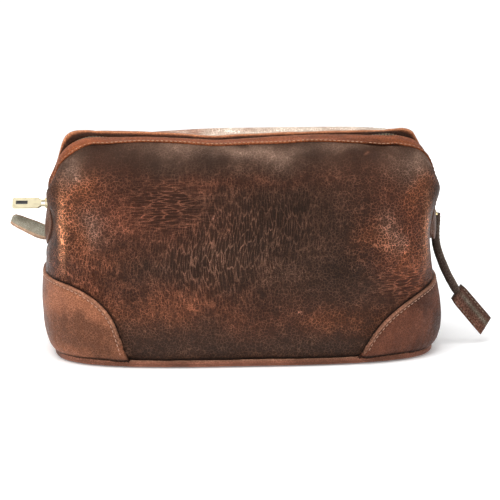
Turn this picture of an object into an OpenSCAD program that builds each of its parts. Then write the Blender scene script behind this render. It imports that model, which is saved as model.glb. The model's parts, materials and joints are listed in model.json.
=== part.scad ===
// Leather shaving kit bag: a soft bag on a stiffened base, closed by a zip with two
// sliders that runs over the top and down both ends. Millimetres, +Z up, front towards -Y.
// The origin is the middle of the base's underside.

/* [Leather] */
// Thickness of the body leather
leather_t = 1.6; // [1.2:0.1:2.0]
// Thickness of the corner patch leather
patch_t = 1.3; // [0.8:0.1:1.6]
// Thickness of the lining cloth
lining_t = 0.6; // [0.4:0.1:0.8]

/* [Base] */
// Thickness of the base leather
base_t = 2.2; // [1.8:0.1:2.3]
// Thickness of the stiffener board
board_t = 1.5; // [1.0:0.1:1.6]
// Radius of the piping round the base
piping_r = 2.3; // [1.8:0.1:2.3]

/* [Corner patches] */
// Height of the left patch at the end of the bag
left_patch_h = 55; // [45:1:56]
// Height of the right patch at the end of the bag
right_patch_h = 53; // [45:1:56]
// Length of the left patch's foot along the front
left_patch_l = 58; // [45:1:70]
// Length of the right patch's foot along the front
right_patch_l = 54; // [45:1:70]

/* [Zip] */
// Width of one row of teeth
teeth_w = 2.2; // [1.8:0.1:2.3]
// Thickness of the teeth
teeth_t = 2.2; // [1.6:0.1:2.4]
// Thickness of the zip tape
tape_t = 0.6; // [0.4:0.1:0.8]
// Height of the left slider's middle
left_slider_z = 101; // [99:0.5:104]
// Height of the right slider's middle
right_slider_z = 98; // [96:0.5:100]

/* [Pulls] */
// Length of the metal pull from its bar
pull_l = 24.5; // [20:0.5:30]
// Width of the metal pull
pull_w = 10; // [8:0.5:11]
// Twist of the metal pull about its length
pull_twist = 30; // [0:1:32]
// Length of the leather tab at the zip's end
tab_l = 28; // [20:1:32]
// Thickness of the folded leather tab
tab_t = 3; // [2:0.2:3]
// Diameter of the rolled leather thong
thong_d = 6; // [4:0.5:6]
// Thickness of the folded leather tip
tip_t = 5; // [4:0.5:7]

/* [Hidden] */
$fn = 32;

dark_hide = "#4a3027";
patch_hide = "#7f5040";
tan_hide = "#a85c38";
cloth = "#3a3330";
gold = "#d9cfa6";

// Height, half width, half depth and squareness of the bag's outline.
PROFILE = [
    [5.6, 124, 57.5, 3.2], [12, 130, 61, 3.1], [22, 133.5, 63.5, 3.0],
    [40, 134.5, 64, 3.0], [54, 132.5, 62.5, 3.0], [70, 128.5, 59, 3.0],
    [84, 129.5, 55, 3.0], [98, 131.5, 50.5, 3.1], [110, 132.5, 46, 3.2],
    [122, 131.5, 41, 3.3], [132, 128, 36, 3.5], [139, 122.5, 31, 3.9],
    [143.5, 114, 26.5, 4.6], [146.5, 102, 23, 6]];

wall_steps = 32;          // steps along one half of the bag's outline
seam_gap = 0.15;          // half the gap between the front and back hides
fit_gap = 0.3;            // gap between neighbouring soft pieces
patch_gap = 1.1;          // keeps a patch clear of the wall it is sewn to
lower_top = 63;           // top of the still lower walls
mouth_bottom = 76;        // bottom of the walls that swing open
facing_w = 20;            // the zip's middle to the facing's outer edge

// The zip runs up one end, round a corner, along the top and down the other end.
zip_x = 124;
zip_top = 144.5;
zip_r = 26;
corner_x = zip_x - zip_r;
corner_z = zip_top - zip_r;
corner_steps = 6;
teeth_in = 1.5;           // the zip's middle to the teeth
tape_in = teeth_in + teeth_w + 0.1;
tape_out = 12;
stop_l = 2.5;
facing_in = 6.4;          // the zip's middle to the facing's inner edge
rim_z = 147.2;            // height of the stitched rim between body and facing

LOWER_Z = [5.6, 12, 22, 33, 44, 54, lower_top];
SIDE_Z = [mouth_bottom, 86, 97, 108, corner_z];
CORNER_A = [for (k = [1:corner_steps]) k * 90 / corner_steps];
TOP_F = [for (k = [1:7]) 1 - k / 4];
profile_top = PROFILE[len(PROFILE) - 1][0];

function corner_level(a) = corner_z + (profile_top - corner_z) * sin(a);
MOUTH_Z = concat(SIDE_Z, [for (a = CORNER_A) corner_level(a)]);

// ---- The bag's outline -------------------------------------------------------------

function column(z, c) = lookup(z, [for (p = PROFILE) [p[0], p[c]]]);

// How far an inset lowers a point: not at all on the walls, fully at the rim.
function roof(z) = lookup(z, [[corner_z, 0], [profile_top, 1]]);

// Turn angle at which the outline comes within edge of the middle plane y = 0.
function edge_angle(z, inset, edge) =
    let (n = column(z, 3), f = edge / (column(z, 2) - inset))
    atan2(f, pow(1 - pow(f, n), 1 / n));

// A point of the front half, from the right end at 0 degrees to the left end at 180.
function wall_point(a, z, inset) =
    let (n = column(z, 3),
         r = pow(pow(abs(cos(a)), n) + pow(abs(sin(a)), n), -1 / n))
    [(column(z, 1) - inset) * r * cos(a), -(column(z, 2) - inset) * r * sin(a),
     z - inset * roof(z)];

function wall_row(z, inset, edge) =
    let (a0 = edge_angle(z, inset, edge))
    [for (i = [0:wall_steps]) wall_point(a0 + (180 - 2 * a0) * i / wall_steps, z, inset)];

function ring_row(half_w, half_d, n, z, steps) =
    [for (i = [0:steps - 1])
        let (a = i * 360 / steps,
             r = pow(pow(abs(cos(a)), n) + pow(abs(sin(a)), n), -1 / n))
        [half_w * r * cos(a), -half_d * r * sin(a), z]];

// ---- Solids from grids of points ---------------------------------------------------

function flat_list(rows) = [for (row = rows) for (p = row) p];
function quad(a, b, c, d) = [[a, b, c], [a, c, d]];
function quads(list) = [for (q = list) for (t = quad(q[0], q[1], q[2], q[3])) t];

// A sheet with an outer and an inner grid of rows, closed round its four edges.
module sheet(outer, inner) {
    rows = len(outer);
    cols = len(outer[0]);
    n = rows * cols;
    function at(r, c) = r * cols + c;
    faces = quads(concat(
        [for (r = [0:rows - 2]) for (c = [0:cols - 2])
            [at(r, c), at(r, c + 1), at(r + 1, c + 1), at(r + 1, c)]],
        [for (r = [0:rows - 2]) for (c = [0:cols - 2])
            [n + at(r, c), n + at(r + 1, c), n + at(r + 1, c + 1), n + at(r, c + 1)]],
        [for (c = [0:cols - 2]) [at(0, c + 1), at(0, c), n + at(0, c), n + at(0, c + 1)]],
        [for (c = [0:cols - 2]) [at(rows - 1, c), at(rows - 1, c + 1),
            n + at(rows - 1, c + 1), n + at(rows - 1, c)]],
        [for (r = [0:rows - 2]) [at(r, 0), at(r + 1, 0), n + at(r + 1, 0), n + at(r, 0)]],
        [for (r = [0:rows - 2]) [at(r + 1, cols - 1), at(r, cols - 1),
            n + at(r, cols - 1), n + at(r + 1, cols - 1)]]));
    polyhedron(concat(flat_list(outer), flat_list(inner)), faces, convexity = 8);
}

// A closed tube wall: rows are rings, the last row of the list joins the first.
module ring_solid(rings) {
    rows = len(rings);
    cols = len(rings[0]);
    function at(r, c) = (r % rows) * cols + c % cols;
    faces = quads([for (r = [0:rows - 1]) for (c = [0:cols - 1])
        [at(r, c), at(r, c + 1), at(r + 1, c + 1), at(r + 1, c)]]);
    polyhedron(flat_list(rings), faces, convexity = 8);
}

// ---- Walls -------------------------------------------------------------------------

module wall(levels, edge, from, thick) {
    sheet([for (z = levels) wall_row(z, from, edge)],
          [for (z = levels) wall_row(z, from + thick, edge)]);
}

// Walls that turn in at the top and end in a straight rim beside the zip.
module mouth_wall(edge, from, thick, rim) {
    function rows(inset) = [for (z = MOUTH_Z) wall_row(z, inset, edge)];
    function rim_row(row, z) = [for (p = row) [p[0], -edge, z]];
    outer = rows(from);
    inner = rows(from + thick);
    last = len(MOUTH_Z) - 1;
    sheet(concat(outer, [rim_row(outer[last], rim)]),
          concat(inner, [rim_row(inner[last], rim - thick)]));
}

module back_half() { mirror([0, 1, 0]) children(); }

module front_panel() { color(dark_hide) wall(LOWER_Z, seam_gap, 0, leather_t); }
module back_panel() { back_half() front_panel(); }

// The stretch of hide and lining that bends when the mouth opens.
module front_fold() {
    color(dark_hide)
    wall([lower_top + fit_gap, mouth_bottom - fit_gap], seam_gap, 0, leather_t + lining_t);
}
module back_fold() { back_half() front_fold(); }

module front_mouth_panel() {
    color(dark_hide) mouth_wall(facing_w + 0.2, 0, leather_t, rim_z);
}
module back_mouth_panel() { back_half() front_mouth_panel(); }

module front_mouth_lining() {
    color(cloth) mouth_wall(tape_out + 0.2, leather_t + lining_t, lining_t, zip_top - 0.5);
}
module back_mouth_lining() { back_half() front_mouth_lining(); }

module body_lining() {
    function ring(z, inset) = ring_row(column(z, 1) - inset, column(z, 2) - inset,
        column(z, 3), z, 2 * wall_steps);
    from = leather_t + lining_t;
    color(cloth)
    ring_solid(concat([for (z = LOWER_Z) ring(z, from)],
        [for (k = [1:len(LOWER_Z)]) ring(LOWER_Z[len(LOWER_Z) - k], from + lining_t)]));
}

// ---- Corner patches ----------------------------------------------------------------

// Top edge of a patch at a distance from the end of the bag.
function patch_top(x, height, length, bend) =
    let (f = min(1, max(0, (column(40, 1) - abs(x)) / length)))
    max(LOWER_Z[0] + 1.5, height * pow(1 - pow(f, bend), 1 / bend));

module end_patch(height, length, bend) {
    steps = 20;
    rows = 6;
    x_foot = column(40, 1) - length;
    n = column(40, 3);
    a_foot = atan2(pow(1 - pow(x_foot / column(40, 1), n), 1 / n), x_foot / column(40, 1));
    function row(k, out) = [for (i = [-steps:steps])
        let (a = a_foot * i / steps,
             front = wall_point(abs(a), 40, 0),
             top = patch_top(front[0], height, length, bend),
             z = LOWER_Z[0] + (top - LOWER_Z[0]) * k / rows,
             p = wall_point(abs(a), z, -out))
        [p[0], i > 0 ? p[1] : -p[1], z]];
    sheet([for (k = [0:rows]) row(k, patch_t + patch_gap)],
          [for (k = [0:rows]) row(k, patch_gap)]);
}

module left_end_patch() {
    color(patch_hide) rotate([0, 0, 180]) end_patch(left_patch_h, left_patch_l, 2);
}
module right_end_patch() {
    color(patch_hide) end_patch(right_patch_h, right_patch_l, 1.6);
}

// ---- Base --------------------------------------------------------------------------

piping_half_w = 121.8;
piping_half_d = 55.3;
base_n = 3.2;

module base_plate(inset, bottom, thick) {
    half_w = piping_half_w - piping_r - inset;
    half_d = piping_half_d - piping_r - inset;
    translate([0, 0, bottom]) linear_extrude(thick)
    polygon([for (p = ring_row(half_w, half_d, base_n, 0, 2 * wall_steps)) [p[0], p[1]]]);
}

module base_panel() { color(patch_hide) base_plate(0.3, 0, base_t); }
module base_board() { color("tan") base_plate(2.5, base_t + 0.1, board_t); }
module floor_lining() {
    color(cloth) base_plate(0.5, base_t + board_t + 0.2, lining_t);
}

module base_piping() {
    sides = 8;
    z = 0.6 + piping_r;
    color(patch_hide)
    ring_solid([for (k = [0:sides - 1])
        let (a = k * 360 / sides)
        ring_row(piping_half_w + piping_r * cos(a), piping_half_d + piping_r * cos(a),
            base_n, z + piping_r * sin(a), 2 * wall_steps)]);
}

// ---- Zip ---------------------------------------------------------------------------

// A station along the zip: side height, corner angle, share of the top and side of the bag.
STATIONS = concat(
    [for (z = SIDE_Z) [z, 0, 1, 1]], [for (a = CORNER_A) [corner_z, a, 1, 1]],
    [for (f = TOP_F) [corner_z, 90, f, 1]],
    [for (k = [1:corner_steps]) [corner_z, CORNER_A[corner_steps - k], 1, -1]],
    [for (k = [1:len(SIDE_Z)]) [SIDE_Z[len(SIDE_Z) - k], 0, 1, -1]]);

// A point beside the zip line, out by a distance and away from the middle by y.
function zip_point(s, y, out) =
    [s[3] * (corner_x * s[2] + (zip_r + out) * cos(s[1])), -y,
     s[0] + (zip_r + out) * sin(s[1])];

// The same station on the edge of the body leather.
function rim_point(s, y, out) =
    let (z = s[0] < corner_z ? s[0] : corner_level(s[1]),
         p = wall_point(edge_angle(z, 0, facing_w), z, 0),
         top = s[1] == 90)
    [s[3] * ((top ? p[0] * s[2] : p[0]) + out * cos(s[1])), -y,
     (top ? rim_z : z) + out * sin(s[1])];

module facing() {
    function crest(s) = lookup(s[1], [[0, 7.5], [90, 4.3]]);
    function rows(out) = [
        [for (s = STATIONS) rim_point(s, facing_w - 0.1, out)],
        [for (s = STATIONS) (rim_point(s, 16.3, out + 0.6) + zip_point(s, 16.3, crest(s) + out)) / 2],
        [for (s = STATIONS) zip_point(s, 12.5, crest(s) + out)],
        [for (s = STATIONS) zip_point(s, 9, crest(s) - 1 + out)],
        [for (s = STATIONS) zip_point(s, facing_in, 1.9 + out)]];
    sheet(rows(0), rows(-1.2));
}

module front_facing() { color(tan_hide) facing(); }
module back_facing() { back_half() front_facing(); }

// A strip that follows the zip line, cut off at its lower ends.
module zip_strip(thick, from, to, bottom) {
    function side(out, sign) = concat(
        [[sign * (zip_x + out), bottom]],
        [for (a = [0:10:90]) [sign * (corner_x + (zip_r + out) * cos(a)),
            corner_z + (zip_r + out) * sin(a)]]);
    function backwards(list) = [for (k = [1:len(list)]) list[len(list) - k]];
    function arch(out) = concat(side(out, 1), backwards(side(out, -1)));
    translate([0, -from, 0]) rotate([90, 0, 0]) linear_extrude(to - from)
    polygon(concat(arch(thick / 2), backwards(arch(-thick / 2))));
}

module front_zip_tape() { color(cloth) zip_strip(tape_t, tape_in, tape_out, mouth_bottom); }
module back_zip_tape() { back_half() front_zip_tape(); }

module front_zip_teeth() {
    color(gold) zip_strip(teeth_t, teeth_in, teeth_in + teeth_w, mouth_bottom + stop_l + 0.5);
}
module back_zip_teeth() { back_half() front_zip_teeth(); }

module front_zip_stops() {
    color(gold) for (side = [-1, 1])
    translate([side * zip_x, -teeth_in - teeth_w / 2, mouth_bottom + 0.2 + stop_l / 2])
    cube([teeth_t + 0.3, teeth_w, stop_l], center = true);
}
module back_zip_stops() { back_half() front_zip_stops(); }

// ---- Sliders and their pulls -------------------------------------------------------

slider_half_l = 6;
slider_half_w = 5.5;
plate_in = 1.5;           // the zip's middle to a slider plate
plate_t = 1.2;
arch_half_w = 1;
arch_in = 2.4;            // half length of the arch's opening
arch_opening = 3.9;       // height of the arch's opening
arch_t = 1;
bar_out = 5;              // the zip's middle to the pull's bar
bar_r = 0.75;
bar_x = zip_x + bar_out;

// Slider with its two plates, the post that parts the tapes and the arch for the pull.
module slider() {
    for (side = [-1, 1])
    translate([side * (plate_in + plate_t / 2) - plate_t / 2, 0, 0]) rotate([0, 90, 0])
    linear_extrude(plate_t) slider_outline();
    translate([-plate_in - 0.1, -1, 2.5]) cube([2 * plate_in + 0.2, 2, slider_half_l - 3]);
    difference() {
        translate([plate_in + plate_t - 0.1, -arch_half_w, -arch_in - arch_t])
        cube([arch_opening + arch_t, 2 * arch_half_w, 2 * (arch_in + arch_t)]);
        translate([plate_in + plate_t, -slider_half_w, -arch_in])
        cube([arch_opening, 2 * slider_half_w, 2 * arch_in]);
    }
}

// Plate outline: rounded shoulders, narrower at the tail.
module slider_outline() {
    tail_w = 4.2;
    polygon(concat(
        [[slider_half_l, -tail_w], [slider_half_l, tail_w]],
        [for (a = [90:15:180]) [-3.5 + 2.5 * cos(a), slider_half_w - 2.5 + 2.5 * sin(a)]],
        [for (a = [180:15:270]) [-3.5 + 2.5 * cos(a), 2.5 - slider_half_w + 2.5 * sin(a)]]));
}

module left_slider() {
    color(gold) mirror([1, 0, 0]) translate([zip_x, 0, left_slider_z]) slider();
}
module right_slider() { color(gold) translate([zip_x, 0, right_slider_z]) slider(); }

// Flat metal pull: a bar under the arch, two short rails and a slotted plate.
module left_pull() {
    pull_t = 1.4;
    window_l = 5.2;
    rail_in = 1.9;
    rail_w = 1.1;
    slot_l = 7.5;
    slot_w = 3;
    color(gold) mirror([1, 0, 0]) translate([bar_x, 0, left_slider_z])
    rotate([pull_twist, 0, 0]) {
        rotate([90, 0, 0]) cylinder(r = bar_r, h = 2 * (rail_in + rail_w), center = true);
        for (side = [-1, 1])
        translate([0, side * (rail_in + rail_w / 2) - rail_w / 2, -pull_t / 2])
        cube([window_l + 1, rail_w, pull_t]);
        translate([0, 0, -pull_t / 2]) linear_extrude(pull_t) difference() {
            polygon([[window_l, -rail_in - rail_w], [window_l + 2, -pull_w / 2],
                [pull_l - 1, -pull_w / 2], [pull_l, 1 - pull_w / 2],
                [pull_l, pull_w / 2 - 1], [pull_l - 1, pull_w / 2],
                [window_l + 2, pull_w / 2], [window_l, rail_in + rail_w]]);
            translate([pull_l - 2.6 - slot_l, -slot_w / 2]) square([slot_l, slot_w]);
        }
    }
}

// Folded leather tab sewn to the zip's left end.
tab_x = 128.4;
tab_z = 79.4;
tab_rise = 17;

module zip_end_tab() {
    neck = 3;
    color("#7a6a5c") mirror([1, 0, 0]) translate([tab_x, 0, tab_z])
    rotate([0, -tab_rise, 0]) rotate([25, 0, 0]) {
        rotate([90, 0, 0]) cylinder(d = tab_t, h = 2 * neck, center = true);
        translate([0, 0, -tab_t / 2]) linear_extrude(tab_t)
        polygon([[0, -neck], [4, -5.6], [tab_l - 3, -6.5], [tab_l, -4.5],
            [tab_l, 4.5], [tab_l - 3, 6.5], [4, 5.6], [0, neck]]);
    }
}

// Wire loop between the right slider and the thong.
loop_l = 8;
loop_drop = 62;

module right_pull_loop() {
    half_w = 3;
    color(gold) translate([bar_x, 0, right_slider_z]) rotate([0, loop_drop, 0]) {
        for (x = [0, loop_l])
        translate([x, 0, 0]) rotate([90, 0, 0]) cylinder(r = bar_r, h = 2 * half_w + 1.4, center = true);
        for (side = [-1, 1])
        translate([0, side * half_w, 0]) rotate([0, 90, 0]) cylinder(r = 0.7, h = loop_l);
    }
}

// ---- Thong and tip -----------------------------------------------------------------

// The thong's route in the plane y = 0, from the wire loop to the leather tip.
THONG = [[133, 91], [133, 86], [132.7, 81], [132.7, 76], [133.2, 71], [134.3, 66],
    [136, 61], [138, 56], [140.2, 51], [142.5, 46.5], [145, 42], [147.5, 38]];
TIP = [[149.3, 43.9], [142.2, 33.5], [162.2, 8], [169.6, 20.4]];

module thong() {
    sides = 10;
    last = len(THONG) - 1;
    function heading(k) = THONG[min(last, k + 1)] - THONG[max(0, k - 1)];
    function ring(k) =
        let (d = heading(k) / norm(heading(k)), across = [d[1], -d[0]])
        [for (i = [0:sides - 1])
            let (a = i * 360 / sides, r = thong_d / 2)
            [THONG[k][0] + r * cos(a) * across[0], r * sin(a), THONG[k][1] + r * cos(a) * across[1]]];
    points = flat_list([for (k = [0:last]) ring(k)]);
    function at(k, i) = k * sides + i % sides;
    walls = quads([for (k = [0:last - 1]) for (i = [0:sides - 1])
        [at(k, i), at(k + 1, i), at(k + 1, i + 1), at(k, i + 1)]]);
    color(dark_hide)
    polyhedron(points, concat(walls, [[for (i = [0:sides - 1]) i]],
        [[for (i = [1:sides]) last * sides + sides - i]]), convexity = 6);
}

module thong_tip() {
    color(patch_hide) translate([0, tip_t / 2, 0]) rotate([90, 0, 0])
    linear_extrude(tip_t) polygon(TIP);
}

base_panel();
base_board();
base_piping();
front_panel();
back_panel();
front_fold();
back_fold();
left_end_patch();
right_end_patch();
body_lining();
floor_lining();
front_mouth_panel();
front_facing();
front_zip_tape();
front_zip_teeth();
front_zip_stops();
front_mouth_lining();
back_mouth_panel();
back_facing();
back_zip_tape();
back_zip_teeth();
back_zip_stops();
back_mouth_lining();
zip_end_tab();
left_slider();
left_pull();
right_slider();
right_pull_loop();
thong();
thong_tip();
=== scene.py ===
"""Leather shaving kit bag: the visual model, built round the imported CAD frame.

Lengths inside the functions are in millimetres in the CAD frame: +X right, front towards
-Y, +Z up, origin under the middle of the base. mesh_from() turns them into metres.
"""

import json
import math

import bpy
import numpy as np
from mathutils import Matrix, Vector

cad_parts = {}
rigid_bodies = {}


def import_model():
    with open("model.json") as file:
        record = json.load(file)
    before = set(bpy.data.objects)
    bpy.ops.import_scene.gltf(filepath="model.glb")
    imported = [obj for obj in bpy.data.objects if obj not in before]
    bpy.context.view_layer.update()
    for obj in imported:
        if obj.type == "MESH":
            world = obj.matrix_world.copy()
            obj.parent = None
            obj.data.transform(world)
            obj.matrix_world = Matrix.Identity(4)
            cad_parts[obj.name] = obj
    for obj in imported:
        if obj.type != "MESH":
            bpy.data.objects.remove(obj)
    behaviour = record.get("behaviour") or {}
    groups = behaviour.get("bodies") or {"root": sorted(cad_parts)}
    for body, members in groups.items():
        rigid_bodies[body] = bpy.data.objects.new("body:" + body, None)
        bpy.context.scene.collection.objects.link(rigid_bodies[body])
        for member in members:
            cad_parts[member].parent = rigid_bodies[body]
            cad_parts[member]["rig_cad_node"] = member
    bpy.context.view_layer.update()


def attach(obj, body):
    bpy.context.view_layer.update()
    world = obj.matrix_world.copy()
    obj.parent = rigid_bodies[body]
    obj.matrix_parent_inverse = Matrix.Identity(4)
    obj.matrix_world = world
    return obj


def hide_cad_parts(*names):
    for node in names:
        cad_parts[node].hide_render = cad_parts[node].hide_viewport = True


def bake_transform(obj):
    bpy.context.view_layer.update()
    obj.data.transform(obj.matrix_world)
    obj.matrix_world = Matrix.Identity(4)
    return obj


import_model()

MM = 0.001

# ---- Camera ------------------------------------------------------------------------

CAMERA_AZIMUTH = math.radians(-4.0)
CAMERA_ELEVATION = math.radians(11.0)
CAMERA_DISTANCE = 1.3
CAMERA_LENS = 138.0
CAMERA_TARGET = Vector((0.006, 0.0, 0.067))


def direction(azimuth, elevation):
    """From the bag towards a viewer at these angles; azimuth 0 is in front."""
    return Vector((math.sin(azimuth) * math.cos(elevation),
                   -math.cos(azimuth) * math.cos(elevation), math.sin(elevation)))


def aim(obj, target):
    obj.rotation_euler = (target - obj.location).to_track_quat("-Z", "Y").to_euler()


scene = bpy.context.scene
camera = bpy.data.objects.new("Camera", bpy.data.cameras.new("Camera"))
scene.collection.objects.link(camera)
scene.camera = camera
camera.data.lens = CAMERA_LENS
camera.location = CAMERA_TARGET + direction(CAMERA_AZIMUTH, CAMERA_ELEVATION) * CAMERA_DISTANCE
aim(camera, CAMERA_TARGET)

# ---- Noise and curves --------------------------------------------------------------

TABLE_SIZE = 256


class Noise:
    """Smooth lattice noise from -1 to 1, the same each run."""

    def __init__(self, seed):
        self.table = np.random.RandomState(seed).rand(TABLE_SIZE, TABLE_SIZE) * 2 - 1

    def __call__(self, x, y):
        xi, yi = np.floor(x).astype(int), np.floor(y).astype(int)
        fx, fy = x - xi, y - yi
        fx, fy = (f * f * f * (f * (f * 6 - 15) + 10) for f in (fx, fy))
        x0, x1 = xi % TABLE_SIZE, (xi + 1) % TABLE_SIZE
        y0, y1 = yi % TABLE_SIZE, (yi + 1) % TABLE_SIZE
        t = self.table
        low = t[x0, y0] * (1 - fx) + t[x1, y0] * fx
        high = t[x0, y1] * (1 - fx) + t[x1, y1] * fx
        return low * (1 - fy) + high * fy


def layered(noise, x, y, cell, octaves=3):
    """Sum of noise at cell size and its halves."""
    total, share = 0.0, 1.0
    for k in range(octaves):
        total = total + share * noise(x / cell + 17 * k, y / cell + 31 * k)
        cell, share = cell / 2, share / 2
    return total


def smooth_line(points):
    """A smooth curve through (x, value) points, flat beyond its ends."""
    xs, ys = (np.array(c, float) for c in zip(*points))
    step = np.diff(xs)
    slope = np.diff(ys) / step
    m = np.concatenate([slope[:1],
                        (slope[:-1] * step[1:] + slope[1:] * step[:-1]) / (step[:-1] + step[1:]),
                        slope[-1:]])

    def at(x):
        x = np.clip(x, xs[0], xs[-1])
        k = np.clip(np.searchsorted(xs, x, side="right") - 1, 0, len(xs) - 2)
        t = (x - xs[k]) / step[k]
        return ((1 + 2 * t) * (1 - t) ** 2 * ys[k] + t * (1 - t) ** 2 * step[k] * m[k]
                + t * t * (3 - 2 * t) * ys[k + 1] + t * t * (t - 1) * step[k] * m[k + 1])

    return at


def ease(x, low, high):
    """0 below low, 1 above high, smooth between."""
    t = np.clip((x - low) / (high - low), 0, 1)
    return t * t * (3 - 2 * t)


def hump(x, middle, reach):
    """1 at the middle, falling away on both sides."""
    return np.exp(-((x - middle) / reach) ** 2)


def bump_at(u, v, cu, cv, ru, rv):
    """A soft round patch, 1 at its middle."""
    return np.exp(-(((u - cu) / ru) ** 2 + ((v - cv) / rv) ** 2))


def flat_run(x, y):
    """Distance along a flat line from its first point to each."""
    return np.concatenate([[0], np.cumsum(np.hypot(np.diff(x), np.diff(y)))])


def path_run(path):
    """Distance along a path from its first point to each."""
    return np.concatenate([[0], np.cumsum(np.linalg.norm(np.diff(path, axis=0), axis=1))])


def spread(values, share, wanted):
    """Rows of three values, given at share, read off at wanted."""
    return np.stack([np.interp(wanted, share, values[:, k]) for k in range(3)], -1)


def round_turn(sides, start=0.0):
    """Evenly spaced angles round a circle."""
    return (np.arange(sides) + start) * 2 * math.pi / sides


def towards(tone, colour, share):
    """The tone, moved a share of the way to another colour."""
    return tone + (colour - tone) * np.asarray(share)[..., None]


# ---- Meshes ------------------------------------------------------------------------


def mesh_from(name, points, faces, uv=None, tone=None, masks=None, material=None):
    """A smooth-shaded piece from points in mm; uv, tone and masks are per point."""
    mesh = bpy.data.meshes.new(name)
    faces = faces.tolist() if isinstance(faces, np.ndarray) else faces
    mesh.from_pydata((np.asarray(points, float) * MM).tolist(), [], faces)
    mesh.polygons.foreach_set("use_smooth", [True] * len(mesh.polygons))
    loops = np.empty(len(mesh.loops), int)
    mesh.loops.foreach_get("vertex_index", loops)
    if uv is not None:
        layer = mesh.uv_layers.new(name="UVMap")
        layer.data.foreach_set("uv", (np.asarray(uv, float)[loops] * MM).ravel())
    if tone is not None:
        layer = mesh.attributes.new("tone", "FLOAT_COLOR", "POINT")
        rgba = np.concatenate([np.clip(tone, 0, 1), np.ones((len(tone), 1))], axis=1)
        layer.data.foreach_set("color", rgba.astype(np.float32).ravel())
    for key, values in (masks or {}).items():
        layer = mesh.attributes.new(key, "FLOAT", "POINT")
        layer.data.foreach_set("value", np.asarray(values, np.float32).ravel())
    mesh.update()
    obj = bpy.data.objects.new(name, mesh)
    scene.collection.objects.link(obj)
    if material is not None:
        mesh.materials.append(material)
    return obj


def grid_faces(rows, cols, wrap=False, flip=False):
    """Quads of a grid; wrap joins the last column to the first."""
    r, c = np.meshgrid(np.arange(rows - 1), np.arange(cols if wrap else cols - 1), indexing="ij")
    n = (c + 1) % cols
    quads = np.stack([r * cols + c, r * cols + n, (r + 1) * cols + n, (r + 1) * cols + c], -1)
    quads = quads.reshape(-1, 4)
    return quads[:, ::-1] if flip else quads


def normals_of(grid):
    """Unit normals of a grid of points, rows up and columns along."""
    along = np.gradient(grid, axis=1)
    up = np.gradient(grid, axis=0)
    n = np.cross(up, along)
    return n / np.maximum(np.linalg.norm(n, axis=-1, keepdims=True), 1e-9)


def flat(grid):
    return grid.reshape(-1, grid.shape[-1]) if grid.ndim == 3 else grid.reshape(-1)


def thicken(obj, mm, offset=-1.0):
    solid = obj.modifiers.new("Thickness", "SOLIDIFY")
    solid.thickness = mm * MM
    solid.offset = offset


def loft(name, rings, uv=None, tone=None, masks=None, material=None):
    """A closed skin over rings of points, with both ends capped."""
    count, sides = rings.shape[:2]
    faces = grid_faces(count, sides, wrap=True).tolist()
    faces.append(list(range(sides))[::-1])
    faces.append([(count - 1) * sides + k for k in range(sides)])
    return mesh_from(name, rings.reshape(-1, 3), faces, uv, tone, masks, material)


# ---- Materials ---------------------------------------------------------------------


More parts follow.
